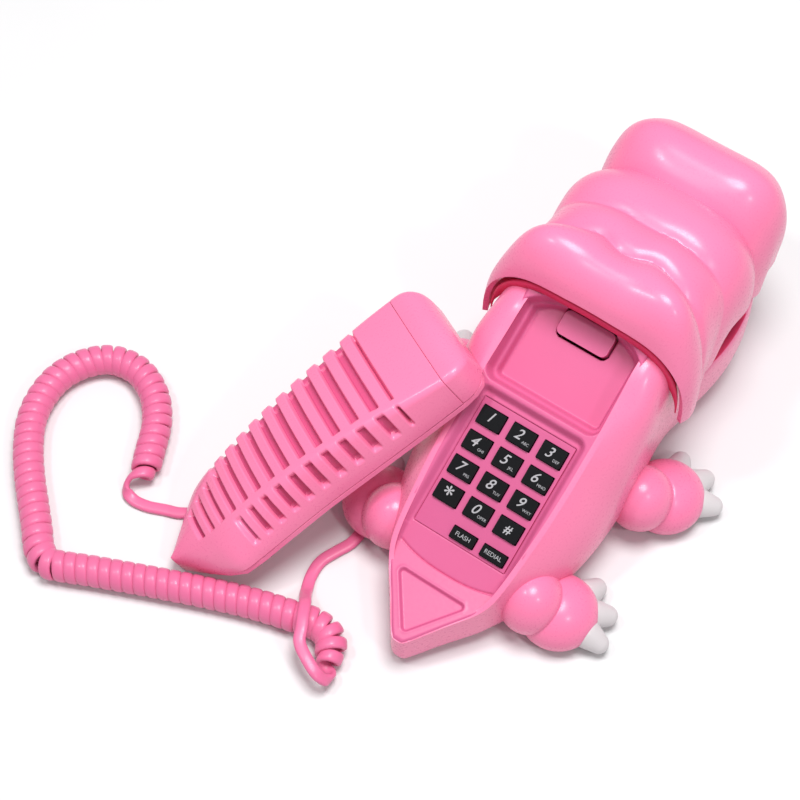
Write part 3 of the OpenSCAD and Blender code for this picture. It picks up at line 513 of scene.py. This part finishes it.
# the painted shade of the inner skin takes in the top of the rim too, where the jaws part
MOUTH_FROM, MOUTH_TO, RIM_ROWS = 62, 92, 3
for face in body.data.polygons:
    row = face.index // rings.shape[1]
    on_rim = row < RIM_ROWS or row == len(rings) - 1
    inside = len(HIGH) + len(LOW) - 1 < row < len(rings) - 1
    in_mouth = on_rim and MOUTH_FROM < face.center[1] / MM < MOUTH_TO
    face.material_index = int(inside or in_mouth)
JACK_AT = (-33, -44, 7.4)
LINE_AT = (-36.8, -17, 7.4)
JACK_W, JACK_H = 11.6, 8.2
cut(body, [box_cutter("cut_cord", JACK_AT, (20, JACK_W, JACK_H)),
           box_cutter("cut_line", LINE_AT, (30, JACK_W, JACK_H))])
bevel(body, 0.7)

# ---------------------------------------------------------------- cradle

RIM_H = 3.2
FACE_W, FACE_L, FACE_T = 41, 54.4, 1.6
PANEL_W, PANEL_L, PANEL_V = 42.4, 62, -2
WELL_W, WELL_FROM, WELL_TO, WELL_R = 50.4, 33.4, 74, 5
# the well goes down by a bevel, a slightly sunk ledge and a step; its far end curves round the neck
BEVEL_H, LEDGE_H, STEP_H, NECK_CURVE = 3.6, 0.4, 4.0, 8
TAB_W, TAB_L = 22, 10
TAB_V = WELL_TO - 3 - TAB_L / 2
CELL, TRAY_T, TRAY_GAP = 0.4, 2, 0.15


def rim_half(y):
    return np.interp(y, STATIONS[:, 0], STATIONS[:, 1])


def sheet(xs, vs, height, half, place, thick, hole=None):
    """A height field over xs and vs, kept inside half(v), with an underside thick below it."""
    x, v = np.meshgrid(xs, vs)
    w = height(x, v)
    limit = half(v)
    inside = np.clip(x, -limit, limit)
    top = np.stack([inside, v, w], axis=-1)
    low = top - (0, 0, thick)
    rows, cols = x.shape
    step = inside[:, 1:] - inside[:, :-1]
    keep = (step[1:] > 1e-4) | (step[:-1] > 1e-4)
    if hole is not None:
        gone = hole(x, v)
        keep &= ~(gone[1:, 1:] & gone[1:, :-1] & gone[:-1, 1:] & gone[:-1, :-1])
    n = rows * cols
    i, j = np.nonzero(keep)
    a = i * cols + j
    quad = np.stack([a, a + 1, a + 1 + cols, a + cols], axis=1)
    faces = quad.tolist() + (quad[:, ::-1] + n).tolist()
    # skirts close every edge of the sheet
    edge = {}
    for q in quad:
        for k in range(4):
            p = (int(q[k]), int(q[(k + 1) % 4]))
            if (p[1], p[0]) in edge:
                del edge[(p[1], p[0])]
            else:
                edge[p] = True
    faces += [(b, a, a + n, b + n) for a, b in edge]
    points = np.vstack([top.reshape(-1, 3), low.reshape(-1, 3)])
    return place(points), faces


def arc_v(x):
    """The curved lower edge of the panel below the keys."""
    return -38.9 + 3 * (np.abs(x) / 20) ** 2.4


def slot_edge(x, v):
    """Signed distance to the slot that the hook's tab stands in."""
    return rounded_box(x, v, 0, TAB_V, TAB_W + 1, TAB_L + 2, 2.9)


def tray_height(x, v):
    # sloping sides down to the panel
    d = rounded_box(x, v, 0, PANEL_V, PANEL_W, PANEL_L, 1.6)
    w = RIM_H * ramp(d, -0.4, 2.9)
    # below the keys the panel ends in an arc with a groove along it, and past the arc the tray drops
    # to pass just under the tail's cover
    past = arc_v(x) - v
    tail_top = np.maximum(0.1, -0.47 * (v + 36) - 1.05)
    low = tail_top * ramp(past, 0, 0.7)
    rim_top = tail_top + (RIM_H - tail_top) * ramp(v, -41, -34)
    side = rim_top * ramp(np.abs(x), 20.6, 23.6)
    w = np.where(v < -29, np.maximum(low, side), w)
    w -= 0.6 * bump(past, 0, 0.35) * (1 - ramp(np.abs(x), 20, 21.5))
    # place of the keys' plate
    d = rounded_box(x, v, 0, 0, FACE_W, FACE_L, 0.8)
    w = np.where(d < 0, np.minimum(w, w - (FACE_T + 0.1) * ramp(-d, 0, 0.25)), w)
    # well, with a wide bevel, a ledge and a step down to its floor
    box = rounded_box(x, v, 0, (WELL_FROM + WELL_TO) / 2, WELL_W, WELL_TO - WELL_FROM, WELL_R)
    end = v - WELL_TO + NECK_CURVE * (np.abs(x) / (WELL_W / 2)) ** 3
    s = -np.maximum(box, end)
    well = -BEVEL_H * ramp(s, -0.2, 1.6) - LEDGE_H * ramp(s, 1.4, 2.4) - STEP_H * ramp(s, 2.3, 3.7)
    w = np.where(s > -0.3, w * (1 - ramp(s, -0.3, 1.2)) + well, w)
    # slot round the hook's tab
    return w - 2.2 * ramp(-slot_edge(x, v), 0, 0.3)


def tray_hole(x, v):
    return ((np.abs(x) < FACE_W / 2 - 0.9) & (np.abs(v) < FACE_L / 2 - 0.9)
            | (slot_edge(x, v) < 0.2))


def tray_half(v):
    return rim_half(CRADLE_AT[1] + SLOPE_COS * v - SLOPE_SIN * RIM_H) - TRAY_GAP


def rounded_off(edge, width, height):
    """How far a rounded edge has dropped, at a distance in from it."""
    return height * (1 - np.sqrt(1 - (1 - np.clip(edge / width, 0, 1)) ** 2))


def tray_top(x, v):
    return tray_height(x, v) - rounded_off(tray_half(v) - np.abs(x), 1.3, 1.1)


verts, faces = sheet(np.arange(-70, 71) * CELL, np.arange(-103, 201) * CELL, tray_top, tray_half,
                     on_cradle, TRAY_T, tray_hole)
tray = make("cradle", verts, faces, BASE, deep_pink, ("cradle_tray",))
# the groove along the panel's curved edge is painted a deeper pink as shade
tray.data.materials.append(painted_groove_shade)
GROOVE_HALF_W, GROOVE_REACH = 0.3, 20.5
for face in tray.data.polygons:
    x, v = ((np.array(face.center) / MM - CRADLE_AT) @ rotation("x", SLOPE))[:2]
    face.material_index = int(abs(arc_v(x) - v) < GROOVE_HALF_W and abs(x) < GROOVE_REACH)
weld(tray)

# the tail's cover with its three-cornered recess

TAIL_FROM, TAIL_TO, TAIL_TIP = -28.8, 2.7, -28.7
TAIL_CELL, TAIL_T, TAIL_GAP = 0.3, 1.6, 0.3
RECESS = np.array([(-12.6, -5.6), (12.6, -5.6), (0, -22.6)])
RECESS_R, COVER_H, RECESS_DEPTH = 1.8, 0.75, 1.5


def triangle_distance(x, t):
    """Signed distance to the three-cornered outline with rounded corners."""
    best = np.full_like(x, 1e9)
    inside = np.ones_like(x, bool)
    for k in range(3):
        a, b = RECESS[k], RECESS[(k + 1) % 3]
        e = b - a
        h = np.clip(((x - a[0]) * e[0] + (t - a[1]) * e[1]) / (e @ e), 0, 1)
        best = np.minimum(best, np.hypot(x - a[0] - h * e[0], t - a[1] - h * e[1]))
        inside &= ((x - a[0]) * e[1] - (t - a[1]) * e[0]) > 0
    return np.where(inside, -best, best) - RECESS_R


def tail_half(t):
    return np.maximum(rim_half(TAIL_AT[1] + TAIL_COS * t) - TAIL_GAP, 0.05)


def tail_height(x, t):
    d = triangle_distance(x, t)
    w = COVER_H - RECESS_DEPTH * ramp(-d, -0.2, 0.9) + 0.15 * bump(d, 0.5, 0.6)
    edge = np.minimum(tail_half(t) - np.abs(x), (t - TAIL_TIP) * 0.8)
    return w - rounded_off(edge, 1.5, 1.2)


def tail_place(p):
    """Puts the cover in place, with its upper end running along the panel's curved edge."""
    end = 1.6 + 2.68 * (np.abs(p[:, :1]) / 20) ** 2.4
    return on_tail(p + (end - TAIL_TO) * ramp(p[:, 1:2], -5, TAIL_TO) * (0, 1, 0))


verts, faces = sheet(np.arange(-75, 76) * TAIL_CELL, np.linspace(TAIL_FROM, TAIL_TO, 106), tail_height,
                     tail_half, tail_place, TAIL_T)
tail = make("tail_cover", verts, faces, BASE, deep_pink, ())
weld(tail)

# ---------------------------------------------------------------- head

EYE_H, RING_H, NOSTRIL_H = 8.5, 2.6, 7
ARCH_POWER, HEAD_POINTS = 2 / 2.9, 161
HEAD_ROWS = np.array([
    (28, 44.5, 50, 88), (30.5, 45.4, 49.5, 92.6), (34, 46.2, 49, 95.6), (38, 46.2, 48.5, 97.4),
    (42, 45.8, 48, 98.4), (46, 45.2, 47.5, 98.6), (50, 44.2, 46.5, 98), (53, 43, 46, 96.8),
    (55.5, 42, 45.6, 95.6), (59, 42, 45.6, 95.4), (62, 41.6, 48, 95), (65, 41.2, 52.4, 94.4),
    (68.5, 40.8, 55.6, 93.4), (71.5, 40.2, 56.8, 92.2), (75, 40.6, 57, 92.4), (80, 41, 56, 92),
    (85, 40.6, 54, 91), (90, 39.4, 50.8, 89.4), (94, 38, 47, 87.8), (96, 37.4, 44.4, 87),
    (99, 37.8, 41.4, 87.8), (103, 38.6, 39.6, 88.8), (107, 39.4, 39, 89.6), (112, 39.8, 39.2, 89.8),
    (116, 39.4, 39.6, 89.2), (120.5, 37.4, 40.4, 87), (124.5, 33.4, 41.6, 83.4),
    (127.5, 27, 44, 79), (129.6, 18, 48, 73), (130.8, 8.5, 54, 66), (131.1, 0.8, 59.2, 60.6)])
HEAD_LINE = smooth_line(HEAD_ROWS, 7)
# creases in front of the brow, between the two rings and behind the nostrils
BROW_Y, RING_Y, SNOUT_Y = 55.5, 71.5, 96
# top of the nostrils; past FRONT_Y the rows alone say how wide and high the snout is, and past LEAN_Y
# the nostrils lean forward
NOSTRIL_Y, FRONT_Y, LEAN_Y, LEAN_L, LEAN = 112, 100, 106, 16, 3


def ring(y, low, high):
    inside = (y > low) & (y < high)
    return np.where(inside, np.sin(np.pi * np.clip((y - low) / (high - low), 0, 1)) ** 0.75, 0)


def brow_edge(a):
    """Place of the brow's front crease, which runs back down the sides and dips between the eyes."""
    u = np.abs(a - 90) / 90
    return 57 - 17.5 * u ** 1.3 - 4 * np.exp(-(u / 0.06) ** 2)


def snout_rise(y):
    rising = np.sin(np.pi / 2 * np.clip((y - SNOUT_Y) / (NOSTRIL_Y - SNOUT_Y), 0, 1)) ** 0.7
    return np.where(y > NOSTRIL_Y, bump(y, NOSTRIL_Y, 9.5), rising)


def pair(a, off, width):
    """Two bumps across the arch, each off degrees from its middle."""
    return bump(a, 90 - off, width) + bump(a, 90 + off, width)


def head_points(rows, angles, inset=0.0):
    """The upper jaw's skin, for rows of place, half width, lower edge and height in the middle.

    g is how far the eyes, the rings and the nostrils swell it there, push how far the nostrils lean
    forward, and tuck draws in the snout's lower sides.
    """
    place, half, low, mid = (rows[:, k:k + 1] for k in range(4))
    a = np.degrees(angles)[None]
    s, c = np.sin(angles)[None], np.cos(angles)[None]
    y = place + (BROW_Y - brow_edge(a)) * bump(place, 54, 15)
    half = np.where(place > FRONT_Y, half, np.interp(y, HEAD_LINE[:, 0], HEAD_LINE[:, 1]))
    mid = np.where(place > FRONT_Y, mid, np.interp(y, HEAD_LINE[:, 0], HEAD_LINE[:, 3]))
    g = (EYE_H * pair(a, 27, 23) * ring(y, 27, BROW_Y)
         + RING_H * (ring(y, BROW_Y, RING_Y) + ring(y, RING_Y, SNOUT_Y)) * (0.3 + 0.7 * s)
         + NOSTRIL_H * snout_rise(y) * (0.35 + 0.65 * s) * (1.05 - 0.5 * bump(a, 90, 20)))
    push = np.where(place < LEAN_Y, 0, LEAN * pair(a, 35, 28)
                    * (1 - np.cos(np.pi / 2 * np.clip((place - LEAN_Y) / LEAN_L, 0, 1))))
    tuck = 1 - 0.13 * bump(place, 113, 9) * (1 - s) ** 2
    x = (half - inset + 0.5 * g) * tuck * spow(c, ARCH_POWER)
    z = low + (mid - inset - low + g) * spow(s, ARCH_POWER)
    return np.stack([x, place + push, z], axis=-1)


def arch_angles(count):
    """Angles that are evenly spaced along the arch."""
    a = np.linspace(0, np.pi, 4001)
    line = np.stack([spow(np.cos(a), ARCH_POWER), spow(np.sin(a), ARCH_POWER)], axis=1)
    s = arc_length(line)
    return np.interp(np.linspace(0, s[-1], count), s, a)


head_grid = head_points(HEAD_LINE, arch_angles(HEAD_POINTS))
head = make("head", head_grid.reshape(-1, 3), dome_faces(*head_grid.shape[:2]), BASE, pink,
            ("head_shell",))
thicken(head, WALL)
# the head's inner skin gets painted shade
paint_inner_shade(head, painted_inner_shade)
bevel(head, 0.7, 60)

# a thin lip round the neck, just inside the head's edge, over the end of the well and down the sides,
# coloured a deep red that is painted shade


LIP_INSET, NECK_Z = 3, 50


def neck_lip():
    section = [(0, 0), (-0.5, 0.55), (-0.2, 1.3), (0.4, 1.6), (3, 1.6), (3, 0), (0.4, -0.1)]
    rows = []
    for a in np.radians(np.linspace(2, 178, 121)):
        full = 0.15 + 0.85 * ramp(math.sin(a), 0, 0.5)
        edge = head_points(HEAD_ROWS[:1], np.array([a]), LIP_INSET)[0, 0]
        inward = unit(np.array([0, edge[1], NECK_Z]) - edge)
        rows.append([edge + inward * deep * full + (0, forward * full + 0.9, 0)
                     for deep, forward in section])
    return np.array(rows)


lip = neck_lip()
make("neck_lip", lip.reshape(-1, 3), tube_faces(*lip.shape[:2]), BASE, painted_inner_shade, ())

# ---------------------------------------------------------------- legs and claws

FRONT_LEG = ((43, 9, 17), (49, 19, 9), 26)
REAR_LEG = ((31.5, -51.5, 16), (41, -46.5, 9), 56)
SOLE_Z = 3.4
THIGH_R, FOOT_R, FOOT_RZ = (12.5, 13, 14), 15.5, 13
CLAW_STEP, CLAW_L, CLAW_R, CLAW_TIP = 37, 7.5, 6, 4.1
# how far inside the foot a claw starts, and how high its two ends' middles are over the sole
CLAW_IN, ROOT_UP, TIP_UP = 2.5, 3.8, 2.4
LEG_GRID, CLAW_GRID = (90, 140), (26, 36)


def directions(rows, cols):
    """A ball of directions, with its poles up and down."""
    up = np.linspace(-np.pi / 2, np.pi / 2, rows)[1:-1, None]
    round_ = np.linspace(0, 2 * np.pi, cols, endpoint=False)[None]
    d = np.stack([np.cos(up) * np.cos(round_), np.cos(up) * np.sin(round_),
                  np.sin(up) + 0 * round_], axis=-1)
    return np.vstack([[(0, 0, -1)], d.reshape(-1, 3), [(0, 0, 1)]])


def ball_faces(rows, cols):
    inner = rows - 2
    faces = grid_faces(inner, cols, around=True, start=1)
    last = inner * cols + 1
    faces += [(0, 1 + (j + 1) % cols, 1 + j) for j in range(cols)]
    faces += [(last, last - cols + j, last - cols + (j + 1) % cols) for j in range(cols)]
    return faces


def reach(centre, radii, start, d):
    """How far along d from start an ellipsoid's skin is."""
    r = np.asarray(radii, float)
    o = (np.asarray(start) - centre) / r
    u = d / r
    a = (u * u).sum(1)
    b = (o * u).sum(1)
    c = (o @ o) - 1
    return (-b + np.sqrt(np.maximum(b * b - a * c, 0))) / a


def leg_points(leg):
    thigh, foot = np.array(leg[0], float), np.array(leg[1], float)
    start = thigh * 0.45 + foot * 0.55
    d = directions(*LEG_GRID)
    a, b = reach(thigh, THIGH_R, start, d), reach(foot, (FOOT_R, FOOT_R, FOOT_RZ), start, d)
    far = np.maximum(a, b)
    # the crease between thigh and foot is a little rounded
    far -= 0.22 * bump(a - b, 0, 0.5)
    p = start + far[:, None] * d
    p[:, 2] = np.maximum(p[:, 2], SOLE_Z)
    return p


def claw_points(leg):
    """Three blunt claws, each a cone between two balls, as separate closed skins."""
    rows, cols = CLAW_GRID
    a = np.array([0, FOOT_R - CLAW_IN, SOLE_Z + ROOT_UP])
    b = np.array([0, FOOT_R + CLAW_L - CLAW_TIP, SOLE_Z + TIP_UP])
    e = unit(b - a)
    length = np.linalg.norm(b - a)
    lean = math.asin((CLAW_R - CLAW_TIP) / length)
    t = np.linspace(-np.pi / 2 + 0.02, np.pi / 2 - 0.02, rows)
    along = np.where(t < lean, CLAW_R * np.sin(t), length + CLAW_TIP * np.sin(t))
    wide = np.where(t < lean, CLAW_R * np.cos(t), CLAW_TIP * np.cos(t))
    side = np.array([1.0, 0, 0])
    up = np.cross(side, e)
    turn = np.linspace(0, 2 * np.pi, cols, endpoint=False)
    skin = (a + e * along[:, None, None] + wide[:, None, None]
            * (np.cos(turn)[None, :, None] * side + np.sin(turn)[None, :, None] * up)).reshape(-1, 3)
    skin[:, 2] = np.maximum(skin[:, 2], SOLE_Z)
    return [skin @ rotation("z", -leg[2] - i * CLAW_STEP).T + (leg[1][0], leg[1][1], 0)
            for i in (-1, 0, 1)]


def add_leg(name, leg, mirrored):
    flip = (-1 if mirrored else 1, 1, 1)
    p = leg_points(leg) * flip
    faces = ball_faces(*LEG_GRID)
    if mirrored:
        faces = [f[::-1] for f in faces]
    foot = make(f"foot_{name}", p, faces, BASE, pink, (f"leg_{name}",))
    if name == "rear_left":
        cut(foot, [box_cutter("cut_foot", (-38.5, JACK_AT[1] - 1, 0), (20, 13, 23.6))])
    weld(foot)
    verts, faces = [], []
    for skin in claw_points(leg):
        closed = tube_faces(*CLAW_GRID, start=len(verts))
        faces += closed if mirrored else [f[::-1] for f in closed]
        verts += (skin * flip).tolist()
    claws = make(f"toe_claws_{name}", verts, faces, BASE, claw_white, (f"claws_{name}",))
    weld(claws)


for name, leg in (("front", FRONT_LEG), ("rear", REAR_LEG)):
    for side, mirrored in (("right", False), ("left", True)):
        add_leg(f"{name}_{side}", leg, mirrored)

# ---------------------------------------------------------------- handset

HANDSET_L, SEAM_Y, RIB_H = 141, 128, 2.8
# along Y: half widths at the edge and of the ridged top, and the top's height
HANDSET_PLAN = np.array([
    (0, 0.8, 0.6, 5), (3, 4.2, 2.4, 6.2), (10, 12.2, 6.5, 8.8), (16.5, 19, 9.6, 11),
    (23, 23.6, 12.6, 13.2), (31, 24.2, 14.6, 15.6), (45, 24, 16.6, 18), (64, 24, 18.6, 19.6),
    (83, 25, 20.6, 19.4), (102, 26, 22.6, 18.4), (115, 26.6, 24.4, 17), (SEAM_Y, 27, 25.6, 15.5)])
RIBS, SEAM = 13, 0.15
# the first rib that has a notch in the flank
FLANK_RIB = 3
BACK_POINTS, CAP_POINTS, CAP_T = 141, 121, 1.8
plan_line = smooth_line(HANDSET_PLAN, 10)


def plan(y, k):
    return np.interp(y, plan_line[:, 0], plan_line[:, k])


def rib_y(i):
    return 17 + 5.4 * i + 0.14 * i * (i - 1)


def rib_dip(y, first=0):
    """1 in the groove before each rib and 0 on its crest; grooves start at rib number first."""
    edges = rib_y(np.arange(RIBS + 1))
    i = np.clip(np.searchsorted(edges, y, side="right") - 1, 0, RIBS - 1)
    t = (y - edges[i]) / (edges[i + 1] - edges[i])
    dip = np.maximum(1 - ramp(t, 0.26, 0.4), ramp(t, 0.86, 1.0))
    before = ramp(y, edges[first] - 1.6, edges[first])
    after = 1 - ramp(y, edges[RIBS] - 0.1, edges[RIBS] + 1.1)
    inside = (y >= edges[first]) & (y <= edges[RIBS])
    return np.where(inside, dip, np.where(y < edges[first], before * 0.9, after))


def half_section(y):
    """Right half of the section without ribs, from the edge up to the middle."""
    wb, wt, h = plan(y, 1), plan(y, 2), plan(y, 3)
    band = min(3.4, wt * 0.2)
    dx = wb - wt
    return np.array([
        (wb, 0), (wb - 0.06 * dx, 0.22 * h), (wb - 0.2 * dx, 0.42 * h), (wb - 0.36 * dx, 0.58 * h),
        (wb - 0.6 * dx, 0.76 * h), (wt + 0.12 * dx, 0.9 * h), (wt - 0.4 * band, 0.985 * h),
        (wt - 1.5 * band, h + 0.3), (0.45 * (wt - 1.4 * band), h + 0.9), (0, h + 1.1)])


def handset_grid(ys, count):
    """The back's smooth skin, and where each point stands: across it, and up its side."""
    grid, over, rise = [], [], []
    for y in ys:
        half = half_section(y)
        full = np.vstack([half * (-1, 1), half[-2::-1]])
        line = spaced(smooth_line(full, 6), count)
        wt, h = plan(y, 2), plan(y, 3)
        band = min(3.4, wt * 0.2)
        grid.append(np.stack([line[:, 0], np.full(count, y), line[:, 1]], axis=1))
        over.append((wt - 1.4 * band) - np.abs(line[:, 0]))
        rise.append(line[:, 1] / h)
    return np.array(grid), np.array(over), np.array(rise)


def handset_back():
    ys = np.concatenate([np.linspace(0.8, 16, 40, endpoint=False),
                         np.linspace(16, rib_y(RIBS) + 2, 320, endpoint=False),
                         np.linspace(rib_y(RIBS) + 2, SEAM_Y, 40)])
    grid, over, rise = handset_grid(ys, BACK_POINTS)
    y = grid[..., 1]
    normal = grid_normals(grid)
    back = ramp(over, -0.35, 0.35)
    fade = ramp(y, 14.5, 17.5)
    side_fade = ramp(y, 26, 44)
    # on the far side the flank's notches are shallower, and run up through the smooth band
    far = grid[..., 0] < 0
    reach_up = np.where(far, 1.05, 0.93)
    flank = ramp(rise, 0.36, 0.46) * (1 - ramp(rise, reach_up, reach_up + 0.06)) * (1 - back)
    notch = RIB_H * rib_dip(y, FLANK_RIB) * flank * side_fade * np.where(far, 0.65, 1.2)
    depth = RIB_H * rib_dip(y) * back * fade + notch
    outer = grid - normal * depth[..., None]
    inner = grid - normal * (WALL + RIB_H * 0.7) * np.minimum(1, plan(y, 2) / 9)[..., None]
    inner[..., 2] = np.maximum(inner[..., 2], 0.02)
    outer[:, (0, -1), 2] = 0
    inner[:, (0, -1), 2] = 0
    return outer, inner, depth


outer, inner, depth = handset_back()
rows, cols = outer.shape[:2]
loop = np.concatenate([outer, inner[:, ::-1]], axis=1)
back = make("handset_back_ribbed", on_handset(loop.reshape(-1, 3)), tube_faces(rows, 2 * cols),
            HANDSET, pink, ("handset_back",))
back.data.materials.append(painted_groove_shade)
# the bottoms of the grooves are painted a deeper pink, as shade
sunk = depth > 0.55 * RIB_H
sunk = sunk[1:, 1:] & sunk[1:, :-1] & sunk[:-1, 1:] & sunk[:-1, :-1]
for face in back.data.polygons:
    i, j = divmod(face.index, 2 * cols)
    face.material_index = int(i < rows - 1 and j < cols - 1 and sunk[i, j])
HANDSET_JACK_AT = (-20.5, 34, 1.2)
cut(back, [box_cutter("cut_jack", HANDSET_JACK_AT, (28.6, JACK_W, JACK_H), on_handset)])


def handset_cap():
    """The rounded end beyond the seam, closed round its nose."""
    steps = np.sin(np.linspace(0, np.pi / 2, 30))
    half = half_section(SEAM_Y)
    full = spaced(smooth_line(np.vstack([half * (-1, 1), half[-2::-1]]), 6), CAP_POINTS)
    rows = []
    for k in steps:
        y = SEAM_Y + SEAM + k * (HANDSET_L - SEAM_Y - SEAM)
        f = math.sqrt(max(0.0, 1 - 0.62 * k ** 3))
        edge = math.sqrt(max(0.0, 1 - (max(0.0, k - 0.86) / 0.14) ** 2)) * 0.12 + 0.88
        rows.append(np.stack([full[:, 0] * (0.25 + 0.75 * f) * edge, np.full(len(full), y),
                              0.2 + (full[:, 1] - 0.2).clip(0) * f * edge], axis=1))
    return np.array(rows)


cap = handset_cap()
cap_piece = make("handset_end", on_handset(cap.reshape(-1, 3)), dome_faces(*cap.shape[:2]), HANDSET,
                 pink, ("handset_cap",))
thicken(cap_piece, CAP_T)
bevel(cap_piece, 0.5, 50)

# ---------------------------------------------------------------- carried-over CAD nodes


def soften(node, material, width, angle=35, segments=3):
    """A CAD node keeps its shape, with its edges rounded and a finish of its own."""
    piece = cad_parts[node]
    mesh = piece.data
    if "custom_normal" in mesh.attributes:
        mesh.attributes.remove(mesh.attributes["custom_normal"])
    mesh.polygons.foreach_set("use_smooth", [True] * len(mesh.polygons))
    mesh.materials.clear()
    mesh.materials.append(material)
    weld(piece)
    bevel(piece, width, angle, segments)
    even_shading(piece)
    return piece


KEY_NAMES = ["1", "2", "3", "4", "5", "6", "7", "8", "9", "star", "0", "hash", "flash", "redial"]
for k in KEY_NAMES:
    soften(f"key_{k}", key_black, 0.35)
soften("faceplate", satin, 0.25)
soften("hook_tab", deep_pink, 0.9, 40, 4)
# the mouth's floor gets a dark red that is painted shade
soften("mouth_floor", mouth_shade_red, 0.5)
soften("belly_plate", deep_pink, 0.4)
soften("rest_pad", rubber, 0.3)
soften("handset_front", pink, 0.4)
soften("keypad_membrane", grey_rubber, 0.2)
soften("main_board", board, 0.15)
for node in ("hook_switch", "ringer", "line_jack", "cord_jack", "ringer_switch", "tone_switch",
             "earpiece", "microphone", "handset_jack"):
    soften(node, black, 0.25)
for node in ("hook_pin", "head_screws", "base_screws", "handset_screws"):
    soften(node, steel, 0.15)
for node in ("cord_plug_base", "cord_plug_handset"):
    soften(node, clear, 0.35)

# ---------------------------------------------------------------- legends on the keys

KEY_DX, KEY_DY, ROW_1, KEY_TOP = 13.5, 10.8, 20.5, 1.4
# keys of the grid, before the two words' own row that stands a little lower
GRID_KEYS, LAST_ROW_DROP = 12, 0.4
DIGIT_H, STAR_H, HASH_H, WORD_H, SMALL_H = 5.8, 8.6, 4.8, 2.45, 1.6
LEGENDS = {
    "1": ("1", ""), "2": ("2", "ABC"), "3": ("3", "DEF"), "4": ("4", "GHI"), "5": ("5", "JKL"),
    "6": ("6", "MNO"), "7": ("7", "PRS"), "8": ("8", "TUV"), "9": ("9", "WXY"), "star": ("*", ""),
    "0": ("0", "OPER"), "hash": ("#", ""), "flash": ("FLASH", ""), "redial": ("REDIAL", "")}


def letters(text, size, at, slant, bold, wide=1.0):
    """Flat letters as points and faces, standing on the cradle's plane round a point."""
    curve = bpy.data.curves.new("letters", "FONT")
    curve.body = text
    curve.size = size
    curve.shear = slant
    curve.offset = bold
    curve.align_x, curve.align_y = "CENTER", "CENTER"
    curve.resolution_u = 6
    holder = bpy.data.objects.new("letters", curve)
    mesh = bpy.data.meshes.new_from_object(holder)
    points = np.array([v.co for v in mesh.vertices], float).reshape(-1, 3)
    faces = [list(p.vertices) for p in mesh.polygons]
    bpy.data.meshes.remove(mesh)
    bpy.data.objects.remove(holder)
    bpy.data.curves.remove(curve)
    points = points * (wide, 1, 0) + (at[0], at[1], KEY_TOP + 0.03)
    return points, faces


for i, name in enumerate(KEY_NAMES):
    big, small = LEGENDS[name]
    if i < GRID_KEYS:
        x, v = (i % 3 - 1) * KEY_DX, ROW_1 - i // 3 * KEY_DY
    else:
        x, v = (i - GRID_KEYS) * KEY_DX, ROW_1 - 4 * KEY_DY - LAST_ROW_DROP
    if i >= GRID_KEYS:
        parts = [letters(big, WORD_H, (x, v + 0.1), 0.0, 0.0, 0.95)]
    elif name == "star":
        parts = [letters(big, STAR_H, (x, v - 0.5), 0.0, 0.08)]
    elif name == "hash":
        parts = [letters(big, HASH_H, (x, v), 0.1, 0.07)]
    else:
        parts = [letters(big, DIGIT_H, (x - (1.4 if small else 0.6), v + 0.4), 0.34, 0.03)]
    if small:
        parts.append(letters(small, SMALL_H, (x + 2.7, v - 1.6), 0.0, 0.0))
    verts, faces = [], []
    for p, f in parts:
        faces += [[q + len(verts) for q in face] for face in f]
        verts += p.tolist()
    make(f"legend_{name}", on_cradle(verts), faces, f"key_{name}_body", ink)

# ---------------------------------------------------------------- floor and light

floor = bpy.data.objects.new("floor", bpy.data.meshes.new("floor"))
SIDE = 3.0
floor.data.from_pydata([(-SIDE, -SIDE, 0), (SIDE, -SIDE, 0), (SIDE, SIDE, 0), (-SIDE, SIDE, 0)], [],
                       [(0, 1, 2, 3)])
floor.data.materials.append(floor_white)
bpy.context.scene.collection.objects.link(floor)

world = bpy.data.worlds.new("studio")
world.use_nodes = True
world.node_tree.nodes["Background"].inputs["Color"].default_value = (1, 0.985, 0.99, 1)
world.node_tree.nodes["Background"].inputs["Strength"].default_value = 0.4
bpy.context.scene.world = world

LIT = (-0.05, 0.0, 0.04)


def area_light(name, at, size, power):
    """A round light aimed at the middle of the telephone."""
    light = bpy.data.lights.new(name, "AREA")
    light.shape = "DISK"
    light.size = size
    light.energy = power
    holder = bpy.data.objects.new(name, light)
    bpy.context.scene.collection.objects.link(holder)
    holder.location = at
    holder.rotation_mode = "QUATERNION"
    holder.rotation_quaternion = (Vector(LIT) - Vector(at)).to_track_quat("-Z", "Y")


area_light("key_light", (0.05, 0.05, 1.2), 0.5, 12.5)
area_light("left_light", (-0.42, -0.34, 1.15), 0.12, 2.6)
area_light("right_light", (0.8, -0.25, 1.1), 0.12, 2.2)
